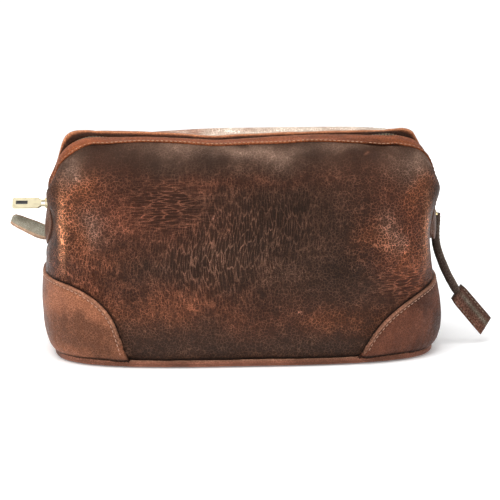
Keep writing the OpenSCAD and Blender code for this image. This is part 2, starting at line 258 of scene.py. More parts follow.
class Shader:
    """A small helper that adds nodes and joins them."""

    def __init__(self, name):
        self.material = bpy.data.materials.new(name)
        self.material.use_nodes = True
        self.tree = self.material.node_tree
        self.shader = self.tree.nodes["Principled BSDF"]

    def node(self, kind, values=None, **settings):
        made = self.tree.nodes.new(kind)
        for key, value in settings.items():
            setattr(made, key, value)
        for key, value in (values or {}).items():
            self.put(value, made.inputs[key])
        return made

    def put(self, value, socket):
        if isinstance(value, bpy.types.NodeSocket):
            self.tree.links.new(value, socket)
        else:
            socket.default_value = value

    def maths(self, operation, a, b=0.0, clamp=False):
        made = self.node("ShaderNodeMath", {0: a, 1: b}, operation=operation)
        made.use_clamp = clamp
        return made.outputs[0]

    def times(self, a, b):
        return self.maths("MULTIPLY", a, b)

    def span(self, value, low, high, out_low=0.0, out_high=1.0):
        made = self.node("ShaderNodeMapRange", {"Value": value, "From Min": low,
                         "From Max": high, "To Min": out_low, "To Max": out_high},
                         interpolation_type="SMOOTHSTEP")
        return made.outputs["Result"]

    def mix(self, factor, a, b, blend="MIX"):
        made = self.node("ShaderNodeMix", data_type="RGBA", blend_type=blend)
        self.put(factor, made.inputs[0])
        self.put(a, made.inputs[6])
        self.put(b, made.inputs[7])
        return made.outputs[2]

    def attribute(self, name, kind="Color"):
        made = self.node("ShaderNodeAttribute")
        made.attribute_name = name
        return made.outputs[kind]

    def coords(self, stretch=(1, 1)):
        """Surface coordinates in mm, stretched along u and v."""
        uv = self.node("ShaderNodeUVMap", uv_map="UVMap").outputs[0]
        factor = 1 / MM
        return self.node("ShaderNodeMapping", {"Vector": uv,
                         "Scale": (factor * stretch[0], factor * stretch[1], factor)}).outputs[0]

    def place(self):
        """Position in metres, for pieces without surface coordinates."""
        return self.node("ShaderNodeTexCoord").outputs["Object"]

    def noise(self, vector, scale, detail=3.0, rough=0.55):
        return self.node("ShaderNodeTexNoise", {"Vector": vector, "Scale": scale,
                         "Detail": detail, "Roughness": rough}).outputs[0]

    def cells(self, vector, scale):
        """Distance to the edge of leather grain cells, 0 in the creases."""
        return self.node("ShaderNodeTexVoronoi", {"Vector": vector, "Scale": scale},
                         feature="DISTANCE_TO_EDGE").outputs["Distance"]

    def warped(self, vector, amount, scale):
        """The same coordinates pushed about by noise."""
        push = self.node("ShaderNodeTexNoise", {"Vector": vector, "Scale": scale,
                         "Detail": 2.0}).outputs["Color"]
        centred = self.node("ShaderNodeVectorMath", {0: push, 1: (0.5, 0.5, 0.5)},
                            operation="SUBTRACT").outputs[0]
        scaled = self.node("ShaderNodeVectorMath", {0: centred, "Scale": amount},
                           operation="SCALE").outputs[0]
        return self.node("ShaderNodeVectorMath", {0: vector, 1: scaled}).outputs[0]

    def bump(self, height, depth_mm):
        return self.node("ShaderNodeBump", {"Height": height,
                         "Distance": depth_mm * MM}).outputs[0]

    def surface(self, sockets):
        """Gives the material, once its surface has these values and links."""
        for key, value in sockets.items():
            self.put(value, self.shader.inputs[key])
        return self.material


def leather(name, cell=2.4, crease=0.5, rough=(0.38, 0.58), coat=0.1, depth=0.35,
            mottle=0.35, masks=True):
    """Aniline leather: tone from the piece, lighter creases between grain cells."""
    s = Shader(name)
    mm_uv = s.coords()
    bent = s.warped(mm_uv, 1.6, 0.35)
    round_cells = s.cells(bent, 1.0 / cell)
    fine_cells = s.cells(s.warped(mm_uv, 0.5, 0.9), 2.3 / cell)
    tone = s.attribute("tone")
    blotch = s.noise(mm_uv, 0.09, 4.0, 0.6)
    speck = s.noise(mm_uv, 1.7, 2.0, 0.6)
    lines = s.span(round_cells, 0.01, 0.1, 1.0, 0.0)
    fine_lines = s.span(fine_cells, 0.01, 0.14, 1.0, 0.0)
    if masks:
        upright = s.cells(s.warped(s.coords((1.0, 0.2)), 1.1, 0.5), 1.15 / cell)
        level = s.cells(s.warped(s.coords((0.17, 1.0)), 1.1, 0.5), 1.15 / cell)
        up_lines = s.span(upright, 0.015, 0.115, 1.0, 0.0)
        level_lines = s.span(level, 0.015, 0.115, 1.0, 0.0)
        up_mask = s.attribute("upright", "Fac")
        level_mask = s.attribute("level", "Fac")
        lines = s.maths("ADD", s.times(lines, s.maths("SUBTRACT", 1.0, up_mask)),
                        s.times(up_lines, up_mask), clamp=True)
        lines = s.maths("ADD", s.times(lines, s.maths("SUBTRACT", 1.0, level_mask)),
                        s.times(level_lines, level_mask), clamp=True)
        strength = s.attribute("grain", "Fac")
    else:
        strength = 1.0
    patchy = s.span(s.noise(mm_uv, 0.16, 3.0), 0.22, 0.6)
    line_share = s.times(s.times(lines, patchy), s.times(strength, crease))
    light = s.mix(1.0, tone, (7.6, 8.3, 9.0, 1.0), "MULTIPLY")
    lit = s.mix(line_share, tone, light)
    dark = s.mix(1.0, tone, (0.42, 0.4, 0.4, 1.0), "MULTIPLY")
    pits = s.times(s.times(fine_lines, strength), crease * 0.75)
    lit = s.mix(pits, lit, s.mix(1.0, tone, (0.3, 0.28, 0.3, 1.0), "MULTIPLY"))
    shade = s.times(s.span(blotch, 0.45, 0.75), mottle)
    lit = s.mix(shade, lit, dark)
    lit = s.mix(s.times(s.span(speck, 0.55, 0.8), mottle * 0.8), lit, dark)
    shine = s.span(s.noise(mm_uv, 0.5, 3.0), 0.3, 0.7, rough[0], rough[1])
    relief = s.maths("ADD", s.times(lines, -0.7), s.times(fine_lines, -0.35))
    if masks:
        relief = s.times(relief, s.maths("ADD", s.times(strength, 0.8), 0.25))
    relief = s.maths("ADD", relief, s.times(s.noise(mm_uv, 3.0, 2.0), 0.3))
    raised = s.bump(relief, depth)
    return s.surface({"Base Color": lit, "Normal": raised, "Coat Normal": raised,
                      "Roughness": s.maths("SUBTRACT", shine, s.times(lines, 0.04)),
                      "Coat Weight": coat, "Coat Roughness": 0.25,
                      "Specular IOR Level": 0.13, "Specular Tint": (1.0, 0.72, 0.55, 1.0)})


def cloth(name, colour, other, threads=1.6, rough=0.85):
    """Plain weave with two thread colours."""
    s = Shader(name)
    uv = s.coords()
    wave = {}
    for axis in ("X", "Y"):
        wave[axis] = s.node("ShaderNodeTexWave", {"Vector": uv, "Scale": threads,
                            "Distortion": 0.4, "Detail": 1.0}, wave_type="BANDS",
                            bands_direction=axis).outputs[1]
    weave = s.maths("MAXIMUM", wave["X"], wave["Y"])
    fuzz = s.noise(uv, 2.5, 3.0)
    return s.surface({"Base Color": s.mix(s.times(weave, fuzz), colour, other),
                      "Roughness": s.span(fuzz, 0.2, 0.8, rough - 0.08, rough + 0.08),
                      "Normal": s.bump(weave, 0.12), "Sheen Weight": 0.15})


def metal(name, colour, dark, rough=(0.16, 0.34)):
    """Plated metal with faint scratches, for pieces without surface coordinates."""
    s = Shader(name)
    place = s.place()
    scratch = s.noise(s.node("ShaderNodeMapping", {"Vector": place,
                      "Scale": (300.0, 4000.0, 900.0)}).outputs[0], 1.0, 3.0)
    cloud = s.noise(place, 260.0, 3.0)
    return s.surface({"Base Color": s.mix(s.span(cloud, 0.45, 0.75, 0.0, 0.6), colour, dark),
                      "Roughness": s.span(scratch, 0.3, 0.7, rough[0], rough[1]),
                      "Normal": s.bump(scratch, 0.02), "Metallic": 1.0})


def thread(name, colour, dark):
    """Twisted waxed thread."""
    s = Shader(name)
    place = s.place()
    twist = s.node("ShaderNodeTexWave", {"Vector": place, "Scale": 900.0, "Distortion": 2.0},
                   bands_direction="DIAGONAL").outputs[1]
    return s.surface({"Base Color": s.mix(twist, dark, colour),
                      "Roughness": s.span(twist, 0.0, 1.0, 0.7, 0.55),
                      "Normal": s.bump(twist, 0.1)})


hide_leather = leather("body_hide_leather", cell=2.15, crease=1.0, depth=1.5, coat=0.14,
                       rough=(0.3, 0.5))
patch_leather = leather("patch_hide_leather", cell=1.7, crease=0.16, depth=0.22, mottle=0.3,
                        masks=False)
facing_leather = leather("facing_hide_leather", cell=1.8, crease=0.2, depth=0.15, mottle=0.2,
                         rough=(0.4, 0.55), masks=False)
thong_leather = leather("thong_hide_leather", cell=1.6, crease=0.25, depth=0.15, mottle=0.3,
                        masks=False)
tab_leather = leather("tab_hide_leather", cell=1.3, crease=0.12, depth=0.1, mottle=0.12,
                      rough=(0.5, 0.65), coat=0.0, masks=False)
lining_cloth = cloth("lining_cloth_weave", (0.055, 0.042, 0.034, 1), (0.12, 0.095, 0.075, 1))
tape_cloth = cloth("tape_cloth_weave", (0.03, 0.022, 0.018, 1), (0.08, 0.06, 0.05, 1), 2.2)
gold_metal = metal("zip_metal_brass", (0.62, 0.5, 0.28, 1), (0.4, 0.3, 0.15, 1))
pull_metal = metal("pull_metal_pale_gold", (0.7, 0.63, 0.44, 1), (0.55, 0.48, 0.32, 1),
                   (0.4, 0.55))
tan_thread = thread("tan_thread", (0.6, 0.36, 0.22, 1), (0.36, 0.18, 0.1, 1))
dull_thread = thread("dull_thread", (0.3, 0.22, 0.15, 1), (0.14, 0.09, 0.06, 1))
rose_thread = thread("rose_thread", (0.66, 0.4, 0.28, 1), (0.36, 0.18, 0.12, 1))


def board_material():
    s = Shader("board_grey_fibre")
    place = s.place()
    fibre = s.noise(place, 700.0, 5.0, 0.7)
    return s.surface({"Base Color": s.mix(fibre, (0.2, 0.16, 0.11, 1), (0.42, 0.36, 0.27, 1)),
                      "Roughness": s.span(fibre, 0.2, 0.8, 0.8, 0.95),
                      "Normal": s.bump(fibre, 0.1)})


# ---- The bag's outline -------------------------------------------------------------

# Height, half width to the left and to the right, half depth, squareness.
OUTLINE = [
    (4.6, 123.5, 126.0, 57.0, 3.2), (8, 127.5, 130.0, 59.5, 3.2), (14, 130.5, 132.5, 62.0, 3.1),
    (22, 132.0, 133.5, 63.5, 3.1), (33, 132.5, 133.0, 64.0, 3.1), (44, 132.3, 131.0, 64.0, 3.1),
    (54, 131.8, 129.0, 62.5, 3.2), (63, 131.5, 127.3, 60.5, 3.5), (70, 131.0, 126.2, 59.0, 3.9),
    (78, 129.3, 126.0, 57.0, 4.4), (84, 127.6, 126.2, 55.5, 4.7), (91, 126.6, 127.0, 53.5, 4.9),
    (98, 127.4, 128.4, 51.0, 5.0), (104, 129.2, 130.2, 48.8, 5.3), (109, 130.6, 131.4, 47.0, 5.7),
    (113, 130.6, 131.4, 45.5, 6.1), (118, 128.4, 129.6, 43.5, 6.4), (124, 125.4, 127.0, 40.8, 6.3),
    (130, 122.8, 124.6, 37.5, 5.9), (135, 118.8, 121.8, 34.0, 5.6), (139, 113.8, 117.8, 30.5, 5.6),
    (142, 108.5, 113.0, 27.0, 6.0), (144.3, 105.0, 109.0, 23.2, 7.0)]
SKIN_TOP = OUTLINE[-1][0]
column = [smooth_line([(row[0], row[k]) for row in OUTLINE]) for k in range(1, 5)]
hw_left, hw_right, half_depth, squareness = column

RIM_Y = 20.5              # the hide ends this far from the middle beside the zip
SEAM_Y = 0.25             # and this far from it where the end seam is closed
# How far the rim stands above its usual height along the front and along the back.
FRONT_RIM = smooth_line([(-125, 0), (-105, 0), (-93.5, -1.0), (-85, -0.3), (-65, 0.6),
                         (-43, -0.3), (-18, -2.1), (4, -1.4), (26, -1.0), (43, -0.1),
                         (60, -0.6), (78, -1.8), (95.6, -3.2), (105, -2.6), (115, -1.0),
                         (125, 0)])
BACK_RIM = smooth_line([(-125, 0), (-105, -0.5), (-85, -0.8), (-65, -0.6), (-41, 0.8),
                        (-16, 1.7), (8, 1.9), (48, 2.1), (84, 1.8), (102, 1.0), (125, 0)])
RIMS = {"front": FRONT_RIM, "back": BACK_RIM}
# Height of each facing's crest along the top.
CREST_Z = {
    "front": smooth_line([(-98, 146.3), (-65, 146.2), (-43, 145.4), (-17, 143.9), (1, 144.6),
                          (44, 146.6), (80, 146.4), (98, 145.5)]),
    "back": smooth_line([(-98, 148.0), (-65, 147.0), (-43, 146.1), (-17, 144.0), (1, 144.9),
                         (46, 146.2), (82, 146.8), (98, 146.7)])}


def edge_at(z):
    """Distance of the hide's end edge from the middle plane at a height."""
    return SEAM_Y + (RIM_Y - SEAM_Y) * ease(z, 70.0, 81.0)


def outline_row(z, cols, edge, inset=0.0):
    """One row of the front half from the right end to the left, evenly spaced."""
    hd, n = half_depth(z) - inset, squareness(z)
    f = np.minimum(edge / hd, 0.97)
    a0 = math.atan2(f, (1 - f ** n) ** (1 / n))
    a = np.linspace(a0, math.pi - a0, 1200)
    r = (np.abs(np.cos(a)) ** n + np.abs(np.sin(a)) ** n) ** (-1 / n)
    hw = np.where(np.cos(a) > 0, hw_right(z), hw_left(z)) - inset
    x, y = hw * r * np.cos(a), -hd * r * np.sin(a)
    length = flat_run(x, y)
    s = np.linspace(0, length[-1], cols)
    return np.interp(s, length, x), np.interp(s, length, y), s - length[-1] / 2


def skin(rows, cols, low=OUTLINE[0][0], high=SKIN_TOP, inset=0.0, rim=FRONT_RIM, edge=edge_at):
    """Points, surface coordinates and heights of half the bag, before its folds."""
    zs = np.linspace(low, high, 900)
    run = flat_run(zs, half_depth(zs))
    levels = np.interp(np.linspace(0, run[-1], rows), run, zs)
    grid, uv = np.empty((rows, cols, 3)), np.empty((rows, cols, 2))
    for k, z in enumerate(levels):
        x, y, s = outline_row(z, cols, edge(z), inset)
        lift = rim(x) * np.clip((z - 112) / (SKIN_TOP - 112), 0, 1) ** 1.6
        grid[k] = np.stack([x, y, z + lift - inset * ease(z, 125, SKIN_TOP)], -1)
        uv[k] = np.stack([-s, np.full(cols, np.interp(z, zs, run))], -1)
    return grid, uv, levels


# ---- Hide: folds, creases and wear -------------------------------------------------

HIDE_ROWS, HIDE_COLS = 150, 300


def ridged(noise, u, v, cu, cv, width=0.25):
    """Narrow creases, 1 in the crease and 0 away from it."""
    bend = noise(u / 14.0 + 5.0, v / 14.0 - 3.0) * 2.2
    return np.clip(1 - np.abs(noise((u + bend) / cu, (v + bend) / cv)) / width, 0, 1)


PATCH_LOW = OUTLINE[0][0] - 0.6
SEAM_DARK = (0.9, 2.1)    # reach of the painted shadow line beside the patches, full and fading
BASE_DARK = (6.2, 7.6)    # heights between which the painted shadow line above the piping fades


def patch_height(f, height, bend):
    """Top of a patch at a share f of its foot's length from the end of the bag."""
    return height * np.clip(1 - np.clip(f, 0, 1) ** bend, 0, 1) ** (1 / bend)


# Each side: sign, height at the end, run round the corner to the foot's tip, bend.
PATCH_SHAPES = {"left": (-1, 53.8, 86.0, 3.0), "right": (1, 48.5, 91.5, 2.05)}


def edge_gap(d, z, height, run, bend):
    """Distance to a patch's curved edge from points d round from the end seam and z up."""
    edge_d = np.linspace(0, run, 150)
    edge_z = PATCH_LOW + patch_height(edge_d / run, height, bend)
    gap = np.full(z.shape, 99.0)
    for at_d, at_z in zip(edge_d, edge_z):
        gap = np.minimum(gap, np.hypot(d - at_d, z - at_z))
    return gap


def seam_shadow(u, z):
    """Painted shadow: how dark the hide is where it goes under the patches and just above the
    piping.
    """
    half = np.abs(u[:, :1])                      # half run of each row
    end_run = np.interp(26.0, z[:, 0], half[:, 0])
    dark = np.zeros(u.shape)
    for sign, height, run, bend in PATCH_SHAPES.values():
        d = end_run * (1 - sign * u / half)
        dark = np.maximum(dark, 1 - ease(edge_gap(d, z, height, run, bend), *SEAM_DARK))
    return np.maximum(dark, 1 - ease(z, *BASE_DARK))


def hide_masks(x, z):
    """Where the grain is coarse and which way its creases run."""
    upright = np.clip(bump_at(x, z, -26, 80, 42, 40) * 1.2 + bump_at(x, z, 30, 95, 30, 26) * 0.7
                      + bump_at(x, z, -100, 62, 24, 26) * 0.5, 0, 1)
    level = np.clip(bump_at(x, z, -52, 106, 24, 16) * 1.3 + bump_at(x, z, 104, 52, 26, 13), 0, 1)
    grain = np.clip(0.55 + bump_at(x, z, -30, 82, 75, 42) * 0.7 + bump_at(x, z, 96, 76, 30, 30)
                    * 0.6 + bump_at(x, z, -98, 78, 30, 35) * 0.6, 0, 1)
    grain = grain * (1 - 0.75 * ease(z, 118, 136))
    return upright, level, grain


DARK = np.array([0.036, 0.0155, 0.009])
RED = np.array([0.09, 0.0245, 0.0115])
ORANGE = np.array([0.2, 0.058, 0.022])
GREY = np.array([0.057, 0.028, 0.0175])
PALE = np.array([0.25, 0.15, 0.105])
SCRATCHED = np.array([0.5, 0.2, 0.12])
# Scratches on the front: x, z, slope in radians, half length.
SCRATCHES = [(34, 37.5, -0.3, 1.6), (-21, 99.0, 1.3, 1.8), (-20, 97.0, 0.9, 1.2),
             (81, 137.0, 0.5, 2.0)]
# Colour of the painted highlight on the corner fold ridges.
RIDGE_HIGHLIGHT = np.array([0.62, 0.24, 0.11])

# x, z, reach in x and z, strength: red under-colour, orange wear, dark, grey and pale. The grey
# spots along the top are painted sheen from the top light; the pale spots are painted highlights on
# the shoulders, rim and bulges.
RED_WEAR = [(-92, 108, 30, 24, 0.6), (-52, 98, 34, 22, 0.45), (-105, 60, 26, 30, 0.6),
            (-40, 42, 60, 18, 0.55), (104, 92, 28, 26, 0.8), (112, 62, 26, 22, 0.8),
            (-20, 120, 60, 6, 0.4), (40, 30, 60, 14, 0.3), (62, 125, 50, 10, 0.35)]
ORANGE_WEAR = [(-112, 119, 13, 12, 0.75), (-113, 98, 8, 20, 0.5), (-95, 70, 16, 12, 0.2),
               (-131, 84, 5, 26, 0.6), (118, 112, 12, 14, 0.6), (112, 70, 14, 12, 0.4),
               (88, 84, 12, 10, 0.45), (-60, 38, 40, 12, 0.25), (62, 30, 26, 10, 0.3)]
DARK_WEAR = [(36, 92, 40, 26, 0.8), (-60, 82, 30, 18, 0.35), (0, 50, 40, 20, 0.35),
             (62, 70, 18, 18, 0.7), (-75, 124, 26, 10, 0.5), (-18, 22, 36, 10, 0.35)]
GREY_SHEEN_AND_WEAR = [(-60, 134, 30, 8, 0.6), (10, 134, 60, 9, 0.8), (90, 128, 30, 12, 0.3),
             (-10, 68, 60, 14, 0.3), (-60, 24, 60, 10, 0.25), (30, 12, 80, 9, 0.3)]
PALE_HIGHLIGHTS = [(-118, 132, 10, 12, 0.55), (-8, 141, 44, 5, 0.85), (116, 130, 14, 10, 0.6),
             (70, 141, 30, 3, 0.3), (-103, 94, 8, 9, 0.25), (96, 88, 8, 11, 0.25)]


def hide_tone(x, z, noise):
    """Base colour of the hide from its patches of wear, with painted sheen and painted highlights.
    """
    wobble = layered(noise, x, z, 26.0) * 7.0
    wx, wz = x + wobble, z - wobble * 0.8
    tone = np.broadcast_to(DARK, x.shape + (3,))
    for colour, spots in ((RED, RED_WEAR), (DARK * 0.75, DARK_WEAR), (ORANGE, ORANGE_WEAR),
                          (GREY, GREY_SHEEN_AND_WEAR), (PALE, PALE_HIGHLIGHTS)):
        for cx, cz, rx, rz, strength in spots:
            tone = towards(tone, colour, strength * bump_at(wx, wz, cx, cz, rx, rz))
    cloudy = 1 + 0.28 * layered(noise, x + 90, z + 40, 17.0)
    return tone * np.clip(cloudy, 0.5, 1.6)[..., None]


def shoulder_tuck(grid):
    """1 where the hide turns in beside the zip, above each slider."""
    near_zip = (1 - ease(-grid[..., 1], 19.0, 28.0)) * (np.abs(grid[..., 0]) > 90)
    return hump(grid[..., 2], 117, 13) * near_zip


def fold_hide(grid, uv, seed, front):
    """Sags, folds and creases of the hide, pushed along its normals."""
    big, small, tiny = Noise(seed), Noise(seed + 1), Noise(seed + 2)
    n = normals_of(grid)
    x, z = grid[..., 0], grid[..., 2]
    u, v = uv[..., 0], uv[..., 1]
    upright, level, grain = hide_masks(x, z)
    calm = ease(z, 56, 74)                      # the patches and base hold the lower part
    rim_calm = 1 - ease(z, 136, 143)
    side = np.abs(x)
    push = 1.1 * layered(big, u, v, 44.0, 2) * (0.35 + 0.65 * calm) * rim_calm
    push += 0.32 * layered(small, u, v, 13.0, 2) * (0.5 + grain) * rim_calm
    # A soft hollow under the shoulder on each side, with a ridge at the corner.
    for sign, depth in ((-1, 1.0), (1, 0.8)):
        near = (np.sign(x) == sign)
        ridge = hump(side, 119.0, 3.6) * hump(z, 92, 20)
        hollow = hump(side, 106.0, 9.0) * hump(z, 88, 22)
        push += near * depth * (1.1 * ridge - 1.8 * hollow) * (grid[..., 1] < -24)
    # Above the sliders the shoulders bulge past the zip, so the hide turns in to meet it.
    push -= 2.2 * shoulder_tuck(grid)
    up_crease = ridged(small, u, v, 4.2, 26.0) * upright
    level_crease = ridged(tiny, u + 60, v, 24.0, 4.4) * level
    net = ridged(tiny, u, v, 6.0, 6.5, 0.2) * grain
    fans = ridged(big, u - v * 0.6, v, 5.0, 22.0) * bump_at(side, z, 100, 72, 22, 26)
    push -= (0.34 * up_crease + 0.3 * level_crease + 0.22 * net + 0.3 * fans) * rim_calm
    grid = grid + n * push[..., None]
    tone = hide_tone(x if front else -x * 0.9 + 14, z, big)
    lines = np.clip(up_crease + level_crease + 0.6 * net + 0.7 * fans, 0, 1)
    tone = tone * (1 + 0.35 * lines)[..., None]
    # Painted highlight, pale along the corner fold and the rim's turned edge, fainter on the back.
    ridge_highlight = hump(side, 119.5, 2.4) * hump(z, 90, 20) * (x < 0) * 0.7
    ridge_highlight += hump(side, 120.5, 2.6) * hump(z, 86, 20) * (x > 0) * 0.5
    if not front:
        ridge_highlight = ridge_highlight * 0.4
    tone = towards(tone, RIDGE_HIGHLIGHT, np.clip(ridge_highlight, 0, 1))
    if front:
        for cx, cz, slope, reach in SCRATCHES:
            across = (x - cx) * math.sin(slope) - (z - cz) * math.cos(slope)
            length = (x - cx) * math.cos(slope) + (z - cz) * math.sin(slope)
            mark = np.exp(-(across / 0.45) ** 2 - (length / reach) ** 4)
            tone = towards(tone, SCRATCHED, 0.5 * mark)
    tone = tone * (1 - 0.92 * seam_shadow(u, z))[..., None]
    return grid, tone, {"upright": upright, "level": level, "grain": grain}


def mirrored(grid):
    """The same points for the back of the bag."""
    return grid * np.array([1, -1, 1])


hide_parts = {}
for side_name, seed in (("front", 11), ("back", 47)):
    base_grid, hide_uv, hide_levels = skin(HIDE_ROWS, HIDE_COLS, rim=RIMS[side_name])
    hide_grid, hide_colour, hide_mask = fold_hide(base_grid, hide_uv, seed, side_name == "front")
    back = side_name == "back"
    placed = mirrored(hide_grid) if back else hide_grid
    hide = mesh_from(side_name + "_hide", flat(placed),
                     grid_faces(HIDE_ROWS, HIDE_COLS, flip=not back), flat(hide_uv),
                     flat(hide_colour), {k: flat(m) for k, m in hide_mask.items()}, hide_leather)
    thicken(hide, 1.4)
    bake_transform(hide)
    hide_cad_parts(side_name + "_panel", side_name + "_fold", side_name + "_mouth_panel")
    hide_parts[side_name] = (hide_grid, hide_levels)


# ---- Stitches ----------------------------------------------------------------------

STITCH_PITCH = 3.3
STITCH_LENGTH = 2.3
STITCH_WIDTH = 0.75


def resample(path, step):
    """Points every step along a path, and their distances."""
    length = path_run(path)
    s = np.arange(0, length[-1], step)
    return spread(path, length, s), s


def stitches(name, paths, lift_to, pitch=STITCH_PITCH, length=STITCH_LENGTH,
             width=STITCH_WIDTH, material=tan_thread):
    """A row of raised stitches on each path; lift_to gives the surface normals there."""
    rings, sides = 7, 6
    along = np.linspace(-1, 1, rings)
    girth = np.sqrt(np.clip(1 - along ** 4, 0.02, 1))
    turn = round_turn(sides)
    points, faces = [], []
    for path, normals in zip(paths, lift_to):
        middles, s = resample(path, pitch)
        ups = spread(normals, path_run(path), s)
        heads = np.gradient(middles, axis=0)
        for middle, up, head in zip(middles[:-1], ups, heads):
            head = head / np.linalg.norm(head)
            across = np.cross(up, head)
            across /= np.linalg.norm(across)
            up = np.cross(head, across)
            first = len(points)
            for a, g in zip(along, girth):
                dip = -0.35 * a * a
                for t in turn:
                    points.append(middle + head * a * length / 2
                                  + across * math.cos(t) * g * width / 2
                                  + up * (math.sin(t) * g * width * 0.45 + dip + 0.12))
            faces += (grid_faces(rings, sides, wrap=True) + first).tolist()
            faces.append([first + k for k in range(sides)][::-1])
            faces.append([first + (rings - 1) * sides + k for k in range(sides)])
    return mesh_from(name, np.array(points), faces, material=material)


# ---- Corner patches ----------------------------------------------------------------

PATCH_THICK = 1.5
PATCH_ROWS = 56
PATCH_TONES = {"left": np.array([0.23, 0.084, 0.042]), "right": np.array([0.1, 0.032, 0.017])}
PATCH_EDGE = np.array([0.32, 0.16, 0.1])
STITCH_IN = 2.4           # stitch row's distance from a patch's edge
LOW_ROWS, LOW_COLS, LOW_TOP = 46, 500, 60.0
END_ROW = 20              # the lower skin's row that the patches' lengths are measured on
low_grid, low_uv, low_levels = skin(LOW_ROWS, LOW_COLS, high=LOW_TOP, edge=lambda z: SEAM_Y)
low_normals = normals_of(low_grid)


def surface_at(s, z):
    """Point and normal of the lower skin at a distance s from the front's middle."""
    k = np.clip(np.interp(z, low_levels, np.arange(LOW_ROWS)), 0, LOW_ROWS - 1.001)
    k0 = k.astype(int)
    t = (k - k0)[..., None]
    span = low_uv[:, 0, 0]                       # half run of each row, right end first
    half_run = span[k0] * (1 - t[..., 0]) + span[k0 + 1] * t[..., 0]
    col = np.clip((1 - (s / half_run + 1) / 2) * (LOW_COLS - 1), 0, LOW_COLS - 1.001)
    c0 = col.astype(int)
    w = (col - c0)[..., None]
    found = []
    for table in (low_grid, low_normals):
        a = table[k0, c0] * (1 - w) + table[k0, c0 + 1] * w
        b = table[k0 + 1, c0] * (1 - w) + table[k0 + 1, c0 + 1] * w
        found.append(a * (1 - t) + b * t)
    return found


def build_patch(side, sign, height, run, bend, seed):
    """A patch round one end of the bag, from its foot in front to its foot behind."""
    noise = Noise(seed)
    end_run = low_uv[END_ROW, 0, 0]              # from the front's middle to the end seam
    shares = 1 - (1 - np.linspace(0, 1, 120)) ** 1.35
    rows = np.linspace(0, 1, PATCH_ROWS) ** 0.9
    d = shares * run                             # distance from the end seam
    top = PATCH_LOW + 0.8 + patch_height(d / run, height, bend) * (1 - 0.8 / height)
    z = PATCH_LOW + (top[None, :] - PATCH_LOW) * rows[:, None]
    s = sign * (end_run - d)[None, :] * np.ones_like(z)
    scale = np.interp(z, low_levels, low_uv[:, 0, 0]) / end_run
    gap = edge_gap(d[None, :], z, height, run, bend)
    point, normal = surface_at(s * scale, np.maximum(z, OUTLINE[0][0]))
    folds = ridged(noise, d[None, :] + 0 * z, z, 5.0, 40.0, 0.3) * np.exp(-(z - 5) / 16.0)
    lift = PATCH_THICK + 0.35 * hump(gap, 1.0, 0.9) - 0.35 * hump(gap, STITCH_IN, 0.6)
    lift += 0.5 * layered(noise, d[None, :] + 0 * z, z, 21.0, 2) * ease(gap, 1, 6)
    lift -= 0.45 * folds
    lift = lift * np.sqrt(np.clip(gap / 0.9, 0, 1)) + 0.12
    lift = np.where(rows[:, None] > 0.999, 0.1, lift)
    point = point + normal * lift[..., None]
    point[..., 2] = np.minimum(point[..., 2], z + 1.0)
    # The same half in front and, mirrored, behind, joined round the end of the bag.
    cols = []
    for way, order in ((-1, slice(None, 0, -1)), (1, slice(0, None))):
        placed = (mirrored(point) if way > 0 else point, way * d[None, :] + 0 * z, z, gap, folds)
        cols.append([a[:, order] for a in placed])
    point, s_line, z, gap, folds = (np.concatenate(p, axis=1) for p in zip(*cols))
    wobble = layered(noise, s_line, z, 24.0)
    base = PATCH_TONES[side]
    tone = towards(base * 1.12, base * 0.5, np.clip(0.42 + wobble, 0, 0.95))
    tone = tone * (1 + 0.3 * folds)[..., None]
    tone = towards(tone, PATCH_EDGE, 0.55 * hump(gap, 0.9, 0.8))
    # Painted shade in the stitch groove, and painted shadow on the patch just above the piping.
    tone = tone * (1 - 0.35 * hump(gap, STITCH_IN, 0.5))[..., None]
    tone = tone * (0.12 + 0.88 * ease(z, *BASE_DARK))[..., None]
    uv = np.stack([s_line, z], -1)
    obj = mesh_from(side + "_corner_patch", flat(point),
                    grid_faces(*point.shape[:2], flip=side == "left"), flat(uv), flat(tone),
                    material=patch_leather)
    thicken(obj, 1.1)
    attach(obj, "bag")
    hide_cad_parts(side + "_end_patch")
    # One stitch row parallel to the curved edge, on each half.
    angle = np.linspace(0.0, 1.0, 400) * math.pi / 2
    ed = run * np.sin(angle) ** (2 / bend)
    ez = PATCH_LOW + height * np.cos(angle) ** (2 / bend)
    tangent = np.stack([np.gradient(ed), np.gradient(ez)], -1)
    tangent /= np.maximum(np.linalg.norm(tangent, axis=1, keepdims=True), 1e-6)
    sd, sz = ed + tangent[:, 1] * STITCH_IN, ez - tangent[:, 0] * STITCH_IN
    keep = (sz > PATCH_LOW + 3) & (sd > 0)
    sd, sz = sd[keep], sz[keep]
    scale = np.interp(sz, low_levels, low_uv[:, 0, 0]) / end_run
    point, normal = surface_at(sign * (end_run - sd) * scale, sz)
    point = point + normal * (PATCH_THICK + 0.1)
    row = stitches(side + "_patch_stitches", [point, mirrored(point)],
                   [normal, mirrored(normal)], width=0.6, material=rose_thread)
    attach(row, "bag")


for number, (side, shape) in enumerate(PATCH_SHAPES.items()):
    build_patch(side, *shape, seed=71 + number)


# ---- Zip facings -------------------------------------------------------------------

ZIP_X, ZIP_R = 124.0, 26.0
CORNER_X, CORNER_Z = ZIP_X - ZIP_R, 118.5
ZIP_BOTTOM = 76.0
ZIP_TOP = CORNER_Z + ZIP_R
# How far the settled zip hangs below its taut line, along the top.
ZIP_SAG = smooth_line([(-98, 0), (-84, -1.2), (-65, -2.0), (-43, -2.7), (-17, -4.2), (1, -3.6),
                       (44, -2.2), (84, -1.2), (98, 0)])
